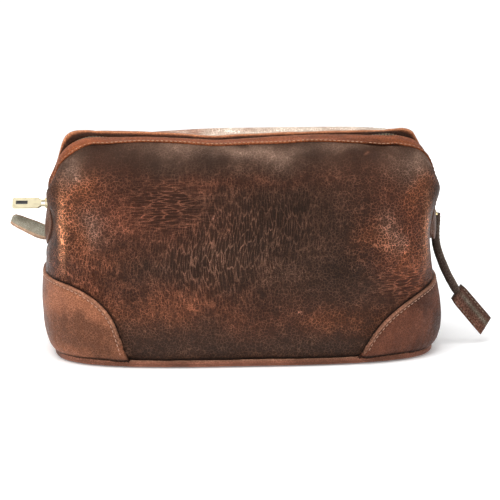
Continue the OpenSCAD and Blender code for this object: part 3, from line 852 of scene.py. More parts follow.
# How far the facing's crest stands out from the teeth, by height on the ends and then by
# turn round the corner: the shoulders of the hide press it flat above the sliders.
END_CREST = smooth_line([(76, 6.6), (85, 7.4), (96, 6.6), (104, 4.6), (112, 2.2), (118.5, 0.8)])
TURN_CREST = {
    ("front", 1): smooth_line([(0, 1.0), (17, 1.4), (37, 3.8), (54, 3.6), (66, 2.4), (90, 1.0)]),
    ("front", -1): smooth_line([(0, 0.8), (17, 0.8), (37, 1.7), (54, 2.0), (66, 2.0), (90, 1.8)]),
    ("back", 1): smooth_line([(0, 1.0), (17, 1.4), (37, 4.3), (47, 5.8), (54, 7.2), (66, 6.2),
                              (76, 4.0), (90, 2.2)]),
    ("back", -1): smooth_line([(0, 0.8), (17, 0.8), (37, 2.7), (47, 4.9), (54, 6.4), (66, 6.4),
                               (76, 5.2), (90, 3.5)])}


def zip_stations(step=1.5, side="front"):
    """Points along the zip from its right end, over the top, to its left end.

    Gives x, z, the outward direction and the height of the facing's crest.
    """
    side_z = np.arange(ZIP_BOTTOM, CORNER_Z, step)
    turn = np.linspace(0, math.pi / 2, 28)
    top_x = np.arange(CORNER_X, -CORNER_X, -step)[1:]
    x = np.concatenate([np.full(len(side_z), ZIP_X), CORNER_X + ZIP_R * np.cos(turn), top_x])
    z = np.concatenate([side_z, CORNER_Z + ZIP_R * np.sin(turn), ZIP_TOP + ZIP_SAG(top_x)])
    out_x = np.concatenate([np.ones(len(side_z)), np.cos(turn), np.zeros(len(top_x))])
    out_z = np.concatenate([np.zeros(len(side_z)), np.sin(turn), np.ones(len(top_x))])
    ends = {sign: np.concatenate([END_CREST(side_z), TURN_CREST[side, sign](np.degrees(turn))])
            for sign in (1, -1)}
    top = CREST_Z[side](top_x) - ZIP_TOP - ZIP_SAG(top_x)
    end = len(side_z) + len(turn)
    x, z, out_x, out_z = (np.concatenate([line, sign * line[:end][::-1]]) for line, sign in
                          ((x, -1), (z, 1), (out_x, -1), (out_z, 1)))
    crest = np.concatenate([ends[1], top, ends[-1][::-1]])
    return x, z, out_x, out_z, crest


def rim_line(grid, levels):
    """The hide's free edge from the right end up, along the top and down to the left end,
    with the direction from the edge into the hide and the hide's normal there."""
    first = int(np.searchsorted(levels, ZIP_BOTTOM))
    n = normals_of(grid)
    rows = np.arange(first, len(levels))
    cols = np.arange(1, grid.shape[1])
    ways = [(rows, np.zeros(len(rows), int), rows, np.full(len(rows), 2)),
            (np.full(len(cols), len(levels) - 1), cols, np.full(len(cols), len(levels) - 3), cols),
            (rows[::-1][1:], np.full(len(rows) - 1, grid.shape[1] - 1), rows[::-1][1:],
             np.full(len(rows) - 1, grid.shape[1] - 3))]
    edge, into, up = [], [], []
    for r, c, r_in, c_in in ways:
        edge.append(grid[r, c])
        into.append(grid[r_in, c_in] - grid[r, c])
        up.append(n[r_in, c_in])
    edge, into, up = (np.concatenate(p) for p in (edge, into, up))
    into /= np.maximum(np.linalg.norm(into, axis=1, keepdims=True), 1e-6)
    return edge, into, up


def smooth_run(values, passes):
    """Evens out small jumps along a line."""
    for _ in range(passes):
        middle = (values[:-2] + 2 * values[1:-1] + values[2:]) / 4
        values = np.concatenate([values[:1], middle, values[-1:]])
    return values


FACING_THICK = 1.2
FACING_LAP = 1.5          # how far the facing lies over the hide
RIM_BEND = 40.0           # length of the rim round each upper corner
# Distance from the middle and share of the crest's height, from the rim to the teeth.
CREST_SHAPE = [(16.8, 0.75), (12.5, 0.97), (9.6, 1.0), (7.9, 0.88), (7.0, 0.5), (6.4, 0.08)]
SECTION_POINTS = 34


def facing_grid(side):
    """The facing's outer skin: columns along the zip, rows from the rim to the teeth."""
    grid, levels = hide_parts[side]
    x, z, out_x, out_z, crest_h = zip_stations(side=side)
    edge, into, up = rim_line(grid, levels)
    # Match each station to the rim by its share of each leg: end, corner and top, end.
    length = path_run(edge)
    zip_len = flat_run(x, z)
    corner_rows = [np.argmin(np.abs(edge[:len(edge) // 3, 2] - CORNER_Z)),
                   len(edge) - 1 - np.argmin(np.abs(edge[::-1][:len(edge) // 3, 2] - CORNER_Z))]
    zip_corners = [zip_len[np.argmin(np.abs(z[:len(z) // 3] - CORNER_Z))]]
    zip_corners.append(zip_len[-1] - zip_corners[0])
    bend = ZIP_R * 1.35
    knots_zip = [0, zip_corners[0], zip_corners[0] + bend, zip_corners[1] - bend,
                 zip_corners[1], zip_len[-1]]
    first, last = length[corner_rows]
    knots_edge = [0, first, first + RIM_BEND, last - RIM_BEND, last, length[-1]]
    wanted = np.interp(zip_len, knots_zip, knots_edge)
    edge, into, up = (spread(v, length, wanted) for v in (edge, into, up))
    edge, up, into = smooth_run(edge, 3), smooth_run(up, 12), smooth_run(into, 12)
    # Over the hide's edge: distance onto the hide and height above it.
    rows = [edge + into * over + up * above for over, above in (
        (FACING_LAP, 0.15), (FACING_LAP - 0.15, FACING_THICK * 0.75),
        (FACING_LAP - 0.7, FACING_THICK + 0.05), (-0.6, FACING_THICK - 0.1))]
    for y, share_h in CREST_SHAPE:
        h = crest_h * share_h
        rows.append(np.stack([x + out_x * h, np.full(len(x), -y), z + out_z * h], -1))
    # On the first rows after the rim, ease from the hide to the crest without a dip.
    control = np.array(rows)
    mid = 0.5 * (control[3] + control[4])
    control[4] = control[4] * 0.55 + mid * 0.45
    share = np.linspace(0, 1, len(control))
    line = np.linspace(0, 1, SECTION_POINTS)
    dense = np.empty((SECTION_POINTS, len(x), 3))
    for col in range(len(x)):
        for k in range(3):
            dense[:, col, k] = smooth_line(list(zip(share, control[:, col, k])))(line)
    return dense, zip_len


TAN = np.array([0.19, 0.052, 0.019])
TAN_PALE = np.array([0.5, 0.21, 0.1])
TAN_SHADED = np.array([0.085, 0.045, 0.032])
# Colour of the painted glare on the back of the mouth.
CREAM = np.array([0.56, 0.46, 0.37])
FACING_SEAM = 1.9         # topstitching's distance from the facing's edge on the hide
SEAM_TURN = 112.0         # below this height the topstitching is dull thread, painted shade on the shaded ends
for side_name, seed in (("front", 5), ("back", 6)):
    dense, zip_len = facing_grid(side_name)
    noise = Noise(seed)
    width = np.concatenate([np.zeros((1, dense.shape[1])),
                            np.cumsum(np.linalg.norm(np.diff(dense, axis=0), axis=-1), axis=0)])
    along = np.broadcast_to(zip_len[None, :], width.shape)
    n = normals_of(dense)
    free = ease(width, 1.5, 4.0)
    dense = dense + n * (0.25 * layered(noise, along, width * 2, 15.0) * free)[..., None]
    tone = TAN * (1 + 0.22 * layered(noise, along, width * 3, 18.0)
                  - 0.25 * ease(dense[..., 0], 10, 90))[..., None]
    crest_share = np.linspace(0, 1, SECTION_POINTS)[:, None]
    # Painted highlight along the top of the crest.
    fold = hump(crest_share, 0.72, 0.07) * np.ones_like(width)
    tone = towards(tone, TAN_PALE, 0.75 * fold)
    if side_name == "back":                      # painted glare, pale cream along the back of the mouth, mottled
        glare_mottle = 0.8 + 0.3 * layered(noise, along + 40, width * 2, 12.0)
        painted_glare = (ease(dense[..., 0] + 14 * layered(noise, along, width * 2, 16.0), -70, 0)
                    * (1 - ease(crest_share, 0.55, 0.68)) * ease(dense[..., 2], 118, 134))
        tone = towards(tone, CREAM, np.clip(glare_mottle * painted_glare, 0, 1))
    # Painted shade: the ends, turned away from the light, are drawn dark.
    end_shade = 1 - ease(dense[..., 2], 104, 126)
    tone = towards(tone, TAN_SHADED, 0.85 * end_shade)
    # Painted shade down into the groove by the teeth.
    tone = tone * (1 - 0.88 * ease(crest_share, 0.78, 0.88) * np.ones_like(width))[..., None]
    back = side_name == "back"
    placed = mirrored(dense) if back else dense
    facing = mesh_from(side_name + "_zip_facing", flat(placed),
                       grid_faces(*dense.shape[:2], flip=not back),
                       flat(np.stack([along, width], -1)), flat(tone), material=facing_leather)
    thicken(facing, 1.0)
    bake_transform(facing)
    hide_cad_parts(side_name + "_facing")
    # Topstitching beside the rim.
    n = normals_of(dense)
    row = np.argmin(np.abs(width - FACING_SEAM), axis=0)
    pick = np.arange(dense.shape[1])
    seam = smooth_run(dense[row, pick], 4) - n[row, pick] * (0.3 if back else 0.05)
    seam, up = (mirrored(seam), mirrored(n[row, pick])) if back else (seam, n[row, pick])
    over = np.flatnonzero(seam[:, 2] > SEAM_TURN)
    runs = {"top": (slice(over[0], over[-1]), tan_thread),
            "right_end": (slice(0, over[0]), dull_thread),
            "left_end": (slice(over[-1], None), dull_thread)}
    for part, (cut, colour) in runs.items():
        line = stitches(side_name + "_" + part + "_stitches", [seam[cut]], [up[cut]], pitch=3.0,
                        length=2.1, width=0.6, material=colour)
        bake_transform(line)


# ---- Zip tape and teeth ------------------------------------------------------------

TOOTH_PITCH, TOOTH_SIDES = 2.3, 8
FIRST_TOOTH, LAST_TOOTH = 3.6, 3.4   # bare tape at the zip's right and left end
TOOTH_ROOT = 2.1                     # where a tooth grips its tape, from the middle
TAPE_ROWS = 5
TAPE_INNER, TAPE_OUTER, TAPE_STEP = 3.6, 10.8, 2.0


def zip_frame(inner, outer, step):
    """Points on the tape: stations along the zip, from inner to outer of the middle."""
    x, z, out_x, out_z, _ = zip_stations(step)
    across = np.linspace(inner, outer, TAPE_ROWS)
    share = np.linspace(0, 1, TAPE_ROWS)
    bow = 0.25 * np.sin(math.pi * share) - 0.5 * share ** 2
    grid = np.empty((TAPE_ROWS, len(x), 3))
    for k, (y, b) in enumerate(zip(across, bow)):
        grid[k] = np.stack([x + out_x * b, np.full(len(x), -y), z + out_z * b], -1)
    return grid, flat_run(x, z), across


def tooth_shape():
    """A rounded nib with a waist: rings of points from the tape towards the middle."""
    stations = [(2.0, 1.0, 0.95), (1.5, 1.05, 1.0), (0.9, 0.85, 0.9), (0.2, 0.8, 0.85),
                (-0.3, 1.0, 0.95), (-0.55, 0.7, 0.6)]
    turn = round_turn(TOOTH_SIDES, 0.5)
    return [(y, w * 0.72 * np.cos(turn), h * 1.05 * np.sin(turn)) for y, w, h in stations]


def build_teeth(side, sign, phase):
    """One row of teeth, each a nib that leans out from the tape's edge."""
    x, z, out_x, out_z, _ = zip_stations(1.0)
    line = np.stack([x, np.zeros(len(x)), z], -1)
    out = np.stack([out_x, np.zeros(len(x)), out_z], -1)
    length = path_run(line)
    s = np.arange(FIRST_TOOTH + phase, length[-1] - LAST_TOOTH, TOOTH_PITCH)
    middles, outs = spread(line, length, s), spread(out, length, s)
    outs /= np.linalg.norm(outs, axis=1, keepdims=True)
    shape = tooth_shape()
    sides, rings = TOOTH_SIDES, len(shape)
    points, faces = [], []
    for middle, up in zip(middles, outs):
        head = np.cross(up, [0, 1, 0])
        first = len(points)
        for y, w, h in shape:
            for a, b in zip(w, h):
                beside = np.array([0, sign * (y + TOOTH_ROOT), 0])
                points.append(middle + head * a + up * b + beside)
        faces += (grid_faces(rings, sides, wrap=True, flip=sign > 0) + first).tolist()
        for ring in (0, rings - 1):
            faces.append([first + ring * sides + k for k in range(sides)])
    teeth = mesh_from(side + "_teeth", np.array(points), faces, material=gold_metal)
    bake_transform(teeth)
    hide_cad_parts(side + "_zip_teeth")


for side_name, sign, phase in (("front", -1, 0.0), ("back", 1, TOOTH_PITCH / 2)):
    tape_grid, tape_len, tape_across = zip_frame(TAPE_INNER, TAPE_OUTER, TAPE_STEP)
    placed = tape_grid if sign < 0 else mirrored(tape_grid)
    tape_uv = np.stack(np.broadcast_arrays(tape_len[None, :], tape_across[:, None]), -1)
    tape = mesh_from(side_name + "_tape", flat(placed),
                     grid_faces(*tape_grid.shape[:2], flip=sign < 0), flat(tape_uv),
                     material=tape_cloth)
    thicken(tape, 0.5, 0.0)
    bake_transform(tape)
    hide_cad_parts(side_name + "_zip_tape")
    build_teeth(side_name, sign, phase)

# ---- Lining ------------------------------------------------------------------------

LINING_IN, LINING_LOW, LINING_HIGH = 3.6, 6.0, 143.0
LINING_ROWS, LINING_COLS = 60, 140
for side_name, rim in RIMS.items():
    inner, inner_uv, _ = skin(LINING_ROWS, LINING_COLS, low=LINING_LOW, high=LINING_HIGH,
                              inset=LINING_IN, rim=rim)
    noise = Noise(91)
    n = normals_of(inner)
    sway = 0.5 * layered(noise, inner_uv[..., 0], inner_uv[..., 1], 22.0) - 0.7
    sway = sway * (1 - ease(inner[..., 2], 120, 138))
    sway -= 2.6 * shoulder_tuck(inner)
    inner = inner + n * sway[..., None]
    placed = mirrored(inner) if side_name == "back" else inner
    lining = mesh_from(side_name + "_lining", flat(placed),
                       grid_faces(LINING_ROWS, LINING_COLS, flip=side_name == "back"),
                       flat(inner_uv), material=lining_cloth)
    thicken(lining, 0.5)
    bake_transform(lining)
    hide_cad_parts("body_lining", side_name + "_mouth_lining")

# ---- Base --------------------------------------------------------------------------

RING_LEFT, RING_RIGHT, RING_DEPTH, RING_N = 124.0, 127.0, 56.2, 3.2
PIPING_R = 2.5
PIPING_Z = 2.9
# The second piping colour is the painted highlight along the top of the cord.
PIPING_TONE, PIPING_HIGHLIGHT = np.array([0.21, 0.08, 0.048]), np.array([0.5, 0.25, 0.155])


def ring(count, inset=0.0):
    """Points round the base, evenly spaced, and the run to each."""
    a = np.linspace(0, 2 * math.pi, 2400)
    r = (np.abs(np.cos(a)) ** RING_N + np.abs(np.sin(a)) ** RING_N) ** (-1 / RING_N)
    hw = np.where(np.cos(a) > 0, RING_RIGHT, RING_LEFT) - inset
    x, y = hw * r * np.cos(a), (RING_DEPTH - inset) * r * np.sin(a)
    length = flat_run(x, y)
    s = np.arange(count) * length[-1] / count
    return np.stack([np.interp(s, length, x), np.interp(s, length, y)], -1), s


def build_piping():
    count, sides = 420, 18
    line, s = ring(count)
    noise = Noise(33)
    head = np.roll(line, -1, axis=0) - np.roll(line, 1, axis=0)
    head /= np.linalg.norm(head, axis=1, keepdims=True)
    out = np.stack([head[:, 1], -head[:, 0]], -1)
    turn = round_turn(sides)
    rings, tones, uvs = [], [], []
    loop = np.sin(round_turn(count))
    for t in turn:
        # A cord in leather: a slight ripple, and the seam flange drawn in at the top.
        pinch = 0.9 * hump(math.degrees(t), 115, 22)
        r = PIPING_R - pinch + 0.12 * noise(s / 5.0, t + 0 * s) * (1 + 0.3 * loop)
        point = np.concatenate([line + out * (r * math.cos(t))[:, None],
                                (PIPING_Z + r * math.sin(t))[:, None]], axis=1)
        rings.append(point)
        base = PIPING_TONE * (1 + 0.3 * noise(s / 13.0, 3.0 + 0 * s))[:, None]
        # Painted highlight along the top of the cord.
        tones.append(towards(base, PIPING_HIGHLIGHT, 0.9 * hump(math.degrees(t), 66, 22)))
        uvs.append(np.stack([s, np.full(count, t * PIPING_R)], -1))
    points, tone, uv = (np.stack(p, 0) for p in (rings, tones, uvs))
    r, c = np.meshgrid(np.arange(sides), np.arange(count), indexing="ij")
    r1, c1 = (r + 1) % sides, (c + 1) % count
    faces = np.stack([r * count + c, r * count + c1, r1 * count + c1, r1 * count + c], -1)
    piping = mesh_from("base_cord_piping", flat(points), faces.reshape(-1, 4), flat(uv), flat(tone),
                       material=patch_leather)
    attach(piping, "bag")
    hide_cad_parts("base_piping")


def build_plate(name, inset, bottom, top, round_by, material, node, wave, tone=None):
    """A soft flat piece inside the base's outline, with rounded edges."""
    count = 160
    shrink = [0.3, 0.6, 0.8, 0.9, 0.96]
    layers = []
    for z, fractions in ((bottom, shrink), (top, shrink[::-1])):
        for f in fractions:
            line, _ = ring(count, inset + round_by)
            layers.append(np.concatenate([line * f, np.full((count, 1), z)], axis=1))
        if z == bottom:
            for t in np.linspace(-80, 80, 7):
                t = math.radians(t)
                line, _ = ring(count, inset + round_by * (1 - math.cos(t)))
                mid, half = (bottom + top) / 2, (top - bottom) / 2
                layers.append(np.concatenate([line, np.full((count, 1), mid + half * math.sin(t))],
                                             axis=1))
    rings = np.array(layers)
    noise = Noise(17)
    rings[..., 2] += wave * layered(noise, rings[..., 0], rings[..., 1], 30.0) * (
        rings[..., 2] > (bottom + top) / 2)
    colour = None
    if tone is not None:
        shade = 1 + 0.3 * layered(noise, rings[..., 0], rings[..., 1], 40.0)
        colour = flat(np.array(tone) * shade[..., None])
    plate = loft(name, rings, flat(rings[..., :2]), colour, material=material)
    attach(plate, "bag")
    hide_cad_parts(node)


build_piping()
build_plate("base_leather", 2.6, 0.0, 2.2, 0.8, patch_leather, "base_panel", 0.0,
            (0.14, 0.055, 0.033))
build_plate("floor_cloth", 3.2, 4.0, 4.8, 0.3, lining_cloth, "floor_lining", 0.25)


def dress(node, material, bevel=0.0):
    """A better material, and softened edges, for a CAD node that stays."""
    obj = next(o for o in scene.objects if o.get("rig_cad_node") == node)
    obj.data.materials.clear()
    obj.data.materials.append(material)
    if bevel:
        soft = obj.modifiers.new("Soft_edges", "BEVEL")
        soft.width = bevel * MM
        soft.segments = 3
        soft.limit_method = "ANGLE"


dress("base_board", board_material())
for node in ("left_slider", "right_slider", "front_zip_stops", "back_zip_stops"):
    dress(node, gold_metal, 0.25)
dress("left_pull", pull_metal, 0.22)
dress("right_pull_loop", gold_metal)


# The pull in the design: its bar, twist and slot.
PULL_BAR_X, PULL_Z, PULL_TWIST = 129.0, 101.0, math.radians(30)
SLOT_X, SLOT_HALF, SLOT_LAP, SLOT_DEPTH = (14.4, 21.9), 1.5, 0.15, 0.3


def build_inlay():
    """Black enamel that fills the slot in the metal pull, just under its face."""
    s = Shader("pull_black_enamel")
    place = s.place()
    black = s.mix(s.noise(place, 300.0), (0.008, 0.008, 0.009, 1), (0.02, 0.019, 0.018, 1))
    s.surface({"Base Color": black, "Roughness": 0.4})
    count = 12
    xs = np.linspace(SLOT_X[0] - SLOT_LAP, SLOT_X[1] + SLOT_LAP, count)
    ys = np.linspace(-SLOT_HALF - SLOT_LAP, SLOT_HALF + SLOT_LAP, count)
    px, py = np.meshgrid(xs, ys, indexing="ij")
    cup = 0.12 * (1 - ((py / SLOT_HALF) ** 2)) + SLOT_DEPTH
    cos, sin = math.cos(PULL_TWIST), math.sin(PULL_TWIST)
    grid = np.stack([-(PULL_BAR_X + px), py * cos - cup * sin, PULL_Z + py * sin + cup * cos], -1)
    inlay = mesh_from("pull_slot_enamel", flat(grid), grid_faces(count, count, flip=True),
                      material=s.material)
    thicken(inlay, 0.5)
    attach(inlay, "left_pull")


build_inlay()


# ---- Thong and tip -----------------------------------------------------------------

THONG_D = 6.0
# The second thong colour is the painted highlight on the proud sewn lip.
THONG_TONE, THONG_HIGHLIGHT = np.array([0.045, 0.029, 0.022]), np.array([0.15, 0.105, 0.08])
THONG_ROUTE = [(133, 91), (133, 86), (132.7, 81), (132.7, 76), (133.2, 71), (134.3, 66),
               (136, 61), (138, 56), (140.3, 50.8), (142.9, 45.6), (145.7, 40.6), (148.6, 35.8)]


def route_frame(points, step):
    """Evenly spaced points on a smooth line through (x, z) points, with their headings."""
    pts = np.array(points, float)
    run = flat_run(*pts.T)
    s = np.linspace(0, run[-1], int(run[-1] / step) + 1)
    line = np.stack([smooth_line(list(zip(run, pts[:, k])))(s) for k in (0, 1)], -1)
    head = np.gradient(line, axis=0)
    head /= np.linalg.norm(head, axis=1, keepdims=True)
    return line, head, s


def build_thong():
    """A strip of leather rolled into a rod, its sewn edge along the outer side."""
    line, head, s = route_frame(THONG_ROUTE, 0.6)
    noise = Noise(61)
    sides = 36
    turn = round_turn(sides)
    radius = THONG_D / 2
    rings = np.empty((len(s), sides, 3))
    tone = np.empty((len(s), sides, 3))
    # The sewn lip stands a little proud on the outer, front-facing side.
    lip = math.radians(-38)
    for k, (point, d) in enumerate(zip(line, head)):
        across = np.array([-d[1], d[0]])         # away from the bag
        away = np.angle(np.exp(1j * (turn - lip)))
        r = radius * (0.97 + 0.05 * hump(away, 0, 0.3) - 0.1 * hump(away, 0.45, 0.12))
        r = r + 0.1 * noise(np.full(sides, s[k] / 3.0), turn * 2)
        r = r * (1 - 0.12 * math.exp(-((s[-1] - s[k]) / 2.0) ** 2))
        rings[k] = np.stack([point[0] + r * np.cos(turn) * across[0], r * np.sin(turn),
                             point[1] + r * np.cos(turn) * across[1]], -1)
        # Painted highlight along the sewn lip.
        tone[k] = towards(THONG_TONE, THONG_HIGHLIGHT, 0.55 * hump(away, 0, 0.35))
    uv = np.stack(np.broadcast_arrays(turn[None, :] * radius, s[:, None]), -1)
    thong = loft("thong_rod", rings, flat(uv), flat(tone), material=thong_leather)
    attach(thong, "right_pull")
    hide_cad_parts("thong")
    across = np.stack([-head[:, 1], head[:, 0]], -1)
    up = np.stack([np.cos(lip) * across[:, 0], np.full(len(s), np.sin(lip)),
                   np.cos(lip) * across[:, 1]], -1)
    seam = np.stack([line[:, 0], np.zeros(len(s)), line[:, 1]], -1) + up * (radius * 1.02)
    keep = slice(4, len(s) - 3)
    rows = stitches("thong_stitches", [seam[keep]], [up[keep]], pitch=2.6, length=1.6, width=0.6,
                    material=dull_thread)
    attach(rows, "right_pull")
    path = [(x * MM, 0.0, z * MM) for x, z in line]
    return thong, rows, path, s[-1] * MM


# Upper and lower corners of the tip, (x, z), at the thong and at the free end.
TIP_NEAR, TIP_FAR = ((151.8, 42.3), (143.8, 30.0)), ((172.6, 18.0), (165.0, 5.0))
TIP_BASE, TIP_RED = np.array([0.06, 0.03, 0.021]), np.array([0.11, 0.043, 0.027])
# The grey is a painted highlight's colour; the dark also paints shade down the crease.
TIP_GREY_HIGHLIGHT, TIP_DARK = np.array([0.13, 0.115, 0.085]), np.array([0.03, 0.019, 0.014])


def build_tip():
    """Two leaves of leather folded over the thong's end, creased down the middle."""
    noise = Noise(67)
    near_a, near_b, far_a, far_b = (np.array(p) for p in TIP_NEAR + TIP_FAR)
    count, sides = 44, 44
    turn = round_turn(sides, 0.5)
    rings, tones, uvs = (np.empty((count, sides, k)) for k in (3, 3, 2))
    length = np.linalg.norm((far_a + far_b - near_a - near_b) / 2)
    for k, t in enumerate(np.linspace(0, 1, count)):
        a, b = near_a + (far_a - near_a) * t, near_b + (far_b - near_b) * t
        middle, half = (a + b) / 2, (a - b) / 2
        round_end = math.sqrt(max(0.0, 1 - (max(0.0, (t - 0.93) / 0.075)) ** 2) * 0.9 + 0.1)
        round_start = math.sqrt(min(1.0, 0.35 + t * 9))
        fat = (2.15 + 0.55 * hump(t, 0.02, 0.12) - 0.2 * t) * round_start
        fat *= 0.55 + 0.45 * round_end
        squeeze = (0.93 - 0.1 * hump(t, 0, 0.1)) * (0.96 + 0.04 * round_end)
        c, sn = np.cos(turn), np.sin(turn)
        box_r = (np.abs(c) ** 4 + np.abs(sn) ** 4) ** -0.25
        across, depth = box_r * c * squeeze, box_r * sn
        crease = 0.32 * hump(across, 0, 0.13) * min(1.0, t * 6)
        puff = 1 + 0.12 * np.cos(across * math.pi * 2) - crease
        depth = depth * fat * puff + 0.14 * noise(across * 3, np.full(sides, t * 6))
        rings[k] = np.stack([middle[0] + half[0] * across, depth,
                             middle[1] + half[1] * across], -1)
        tone = towards(TIP_BASE, TIP_RED, (0.5 - 0.5 * across) * 0.9)
        # Painted highlight, grey-green, beside the middle crease.
        tone = towards(tone, TIP_GREY_HIGHLIGHT, 0.75 * hump(across, 0.2, 0.18) * min(1, t * 4))
        tone = towards(tone, TIP_DARK, 0.8 * hump(t, 0, 0.06))
        # Painted shade down the middle crease.
        tones[k] = towards(tone, TIP_DARK, 0.5 * hump(across, 0, 0.06))
        uvs[k] = np.stack([turn * 5, np.full(sides, t * length)], -1)
    tip = loft("thong_leather_tip", rings, flat(uvs), flat(tones), material=thong_leather)
    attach(tip, "right_pull")
    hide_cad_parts("thong_tip")
    paths, ups = [], []
    for face in (-1, 1):
        for share in (-0.72, 0.72):
            path, up = [], []
            for t in np.linspace(0.12, 0.9, 30):
                a, b = near_a + (far_a - near_a) * t, near_b + (far_b - near_b) * t
                point = (a + b) / 2 + (a - b) / 2 * share
                path.append((point[0], face * (2.2 - 0.2 * t), point[1]))
                up.append((0, face, 0))
            paths.append(np.array(path, float))
            ups.append(np.array(up, float))
    rows = stitches("tip_stitches", paths, ups, pitch=2.9, length=1.8, width=0.55,
                    material=dull_thread)
    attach(rows, "right_pull")
    return tip, rows


thong_rod, thong_rows, thong_path, thong_length = build_thong()
tip_piece, tip_rows = build_tip()

# ---- Tab at the zip's left end -----------------------------------------------------

TAB_X, TAB_Z, TAB_RISE, TAB_TWIST = 128.4, 79.4, math.radians(20), math.radians(40)
TAB_LENGTH, TAB_THICK = 28.0, 3.0
TAB_TOP, TAB_EDGE = np.array([0.3, 0.275, 0.215]), np.array([0.46, 0.3, 0.2])
TAB_OLIVE, TAB_GROOVE = np.array([0.19, 0.165, 0.12]), np.array([0.16, 0.07, 0.04])
TAB_UNDER_SHADE = np.array([0.62, 0.5, 0.42])          # painted shade: how the under face is darkened


def tab_to_bag(points):
    """From the tab's own axes (along, across, up) to the bag's."""
    p, q, r = points[..., 0], points[..., 1], points[..., 2]
    q, r = (q * math.cos(TAB_TWIST) - r * math.sin(TAB_TWIST),
            q * math.sin(TAB_TWIST) + r * math.cos(TAB_TWIST))
    x = p * math.cos(TAB_RISE) - r * math.sin(TAB_RISE)
    z = p * math.sin(TAB_RISE) + r * math.cos(TAB_RISE)
    return np.stack([-(TAB_X + x), q, TAB_Z + z], -1)


def build_tab():
    """Two leaves sewn back to back, with pale faces, painted shade on the under face, and raw tan
    edges.
    """
    noise = Noise(29)
    half_width = smooth_line([(0, 3.4), (3, 5.2), (7, 5.9), (18, 6.3), (24, 6.5), (27, 5.6),
                              (28, 4.0)])
    near_cut = smooth_line([(0, 1.0), (8, 1.0), (13, 0.86), (27, 0.3), (28, 0.25)])
    count, sides = 50, 44
    turn = round_turn(sides, 0.5)
    own, tones, uvs = (np.empty((count, sides, k)) for k in (3, 3, 2))
    for k, t in enumerate(np.linspace(0, 1, count)):
        p = TAB_LENGTH * t
        w = float(half_width(p))
        c, sn = np.cos(turn), np.sin(turn)
        box_r = (np.abs(c) ** 7 + np.abs(sn) ** 7) ** (-1 / 7)
        q, r = box_r * c * w, box_r * sn * TAB_THICK / 2
        face = np.abs(box_r * sn) > 0.93
        rim = hump(np.abs(q), w - 1.0, 0.45)
        r = r * (1 - 0.14 * face * (1 - (np.abs(q) / w) ** 4) * min(1, t * 5))
        r = r + np.sign(r) * 0.14 * rim * face
        groove = hump(np.abs(box_r * sn), 0, 0.12) * 0.35
        q = q - np.sign(q) * groove
        q = np.where(q < 0, q * float(near_cut(p)), q)   # the front edge is cut away
        r = r + 0.9 * math.sin(t * math.pi) * 0.5 + 0.12 * noise(q / 4, np.full(sides, p / 5))
        own[k] = np.stack([np.full(sides, p), q, r], -1)
        tone = np.where(face[:, None], TAB_TOP, TAB_EDGE)
        tone = towards(tone, TAB_OLIVE, 0.75 * rim * face)
        tone = towards(tone, TAB_GROOVE, groove * 2.2)
        # Painted shade on the under face.
        tone = np.where((sn < -0.5)[:, None], tone * TAB_UNDER_SHADE, tone)
        tones[k] = tone * (1 + 0.12 * noise(q / 3, np.full(sides, p / 3)))[:, None]
        uvs[k] = np.stack([q + sn * 2, np.full(sides, p)], -1)
    tab = loft("zip_tab_leather", tab_to_bag(own), flat(uvs), flat(tones), material=tab_leather)
    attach(tab, "end_tab")
    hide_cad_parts("zip_end_tab")
    paths, ups = [], []
    for face in (-1, 1):
        path = []
        for p, q in ((3.5, -3.6), (4.2, -1.2), (4.2, 1.2), (3.5, 3.6)):
            arch = 0.42 * math.sin(p / TAB_LENGTH * math.pi)
            path.append((p, q, face * (TAB_THICK / 2 + 0.02 + face * arch)))
        path = np.array(path, float)
        points = tab_to_bag(path)
        lifted = tab_to_bag(path + np.array([0, 0, face * 1.0]))
        paths.append(points)
        ups.append(lifted - points)
    rows = stitches("tab_stitches", paths, ups, pitch=1.9, length=1.2, width=0.5,
                    material=dull_thread)
    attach(rows, "end_tab")


build_tab()


# ---- Room and light ----------------------------------------------------------------

FLOOR_HALF = 900.0


def area_light(name, azimuth, elevation, distance, size, power):
    lamp = bpy.data.lights.new(name, "AREA")
    lamp.shape = "RECTANGLE"
    lamp.size, lamp.size_y = size
    lamp.energy = power
    obj = bpy.data.objects.new(name, lamp)
    scene.collection.objects.link(obj)
    way = direction(math.radians(azimuth), math.radians(elevation))
    obj.location = CAMERA_TARGET + way * distance
    aim(obj, CAMERA_TARGET)


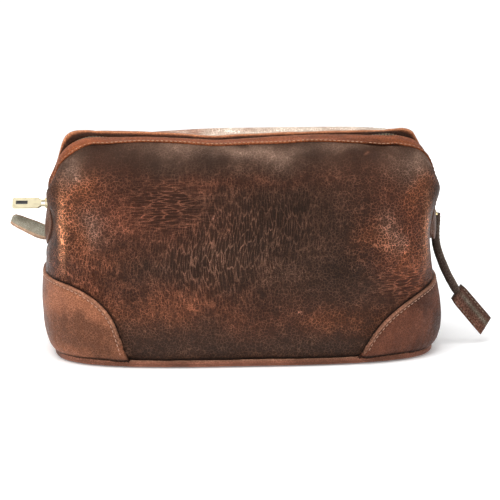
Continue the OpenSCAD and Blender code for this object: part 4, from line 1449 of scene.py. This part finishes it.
def make_floor():
    xs = np.linspace(-FLOOR_HALF, FLOOR_HALF, 3)
    grid = np.stack(np.meshgrid(xs, xs, indexing="xy") + [np.zeros((3, 3))], -1)
    s = Shader("floor_white")
    place = s.place()
    pale = s.mix(s.noise(place, 3.0), (0.92, 0.92, 0.92, 1), (0.95, 0.95, 0.95, 1))
    # The far floor glows more, so that its edge is lost against the white room.
    away = s.node("ShaderNodeVectorMath", {0: place}, operation="LENGTH").outputs["Value"]
    s.surface({"Base Color": pale, "Roughness": 0.9, "Emission Color": (1, 1, 1, 1),
               "Emission Strength": s.span(away, 0.25, 0.8, 0.2, 1.1)})
    floor = mesh_from("floor", flat(grid), grid_faces(3, 3), material=s.material)
    floor.location.z = -0.0002


def make_world():
    """White studio, brighter behind and above the bag than in front of it."""
    world = bpy.data.worlds.new("studio")
    scene.world = world
    world.use_nodes = True
    tree = world.node_tree
    background = tree.nodes["Background"]
    background.inputs["Color"].default_value = (1, 1, 1, 1)
    place = tree.nodes.new("ShaderNodeTexCoord")
    split = tree.nodes.new("ShaderNodeSeparateXYZ")
    tree.links.new(place.outputs["Generated"], split.inputs[0])
    ramp = tree.nodes.new("ShaderNodeMapRange")
    for key, value in (("From Min", -0.6), ("From Max", 0.9), ("To Min", 0.05), ("To Max", 0.45)):
        ramp.inputs[key].default_value = value
    tree.links.new(split.outputs["Y"], ramp.inputs["Value"])
    path = tree.nodes.new("ShaderNodeLightPath")
    pick = tree.nodes.new("ShaderNodeMix")
    pick.data_type = "FLOAT"
    tree.links.new(path.outputs["Is Camera Ray"], pick.inputs[0])
    tree.links.new(ramp.outputs["Result"], pick.inputs[2])
    pick.inputs[3].default_value = 1.1
    tree.links.new(pick.outputs[0], background.inputs["Strength"])


make_floor()
make_world()
area_light("key_light", -28, 48, 1.6, (1.2, 1.2), 18)
area_light("fill_light", 40, 25, 1.8, (1.0, 1.4), 3)
area_light("top_light", 0, 80, 1.3, (1.6, 0.7), 16)
area_light("side_light", -82, 18, 1.5, (0.8, 1.0), 5)
scene.view_settings.view_transform = "Standard"
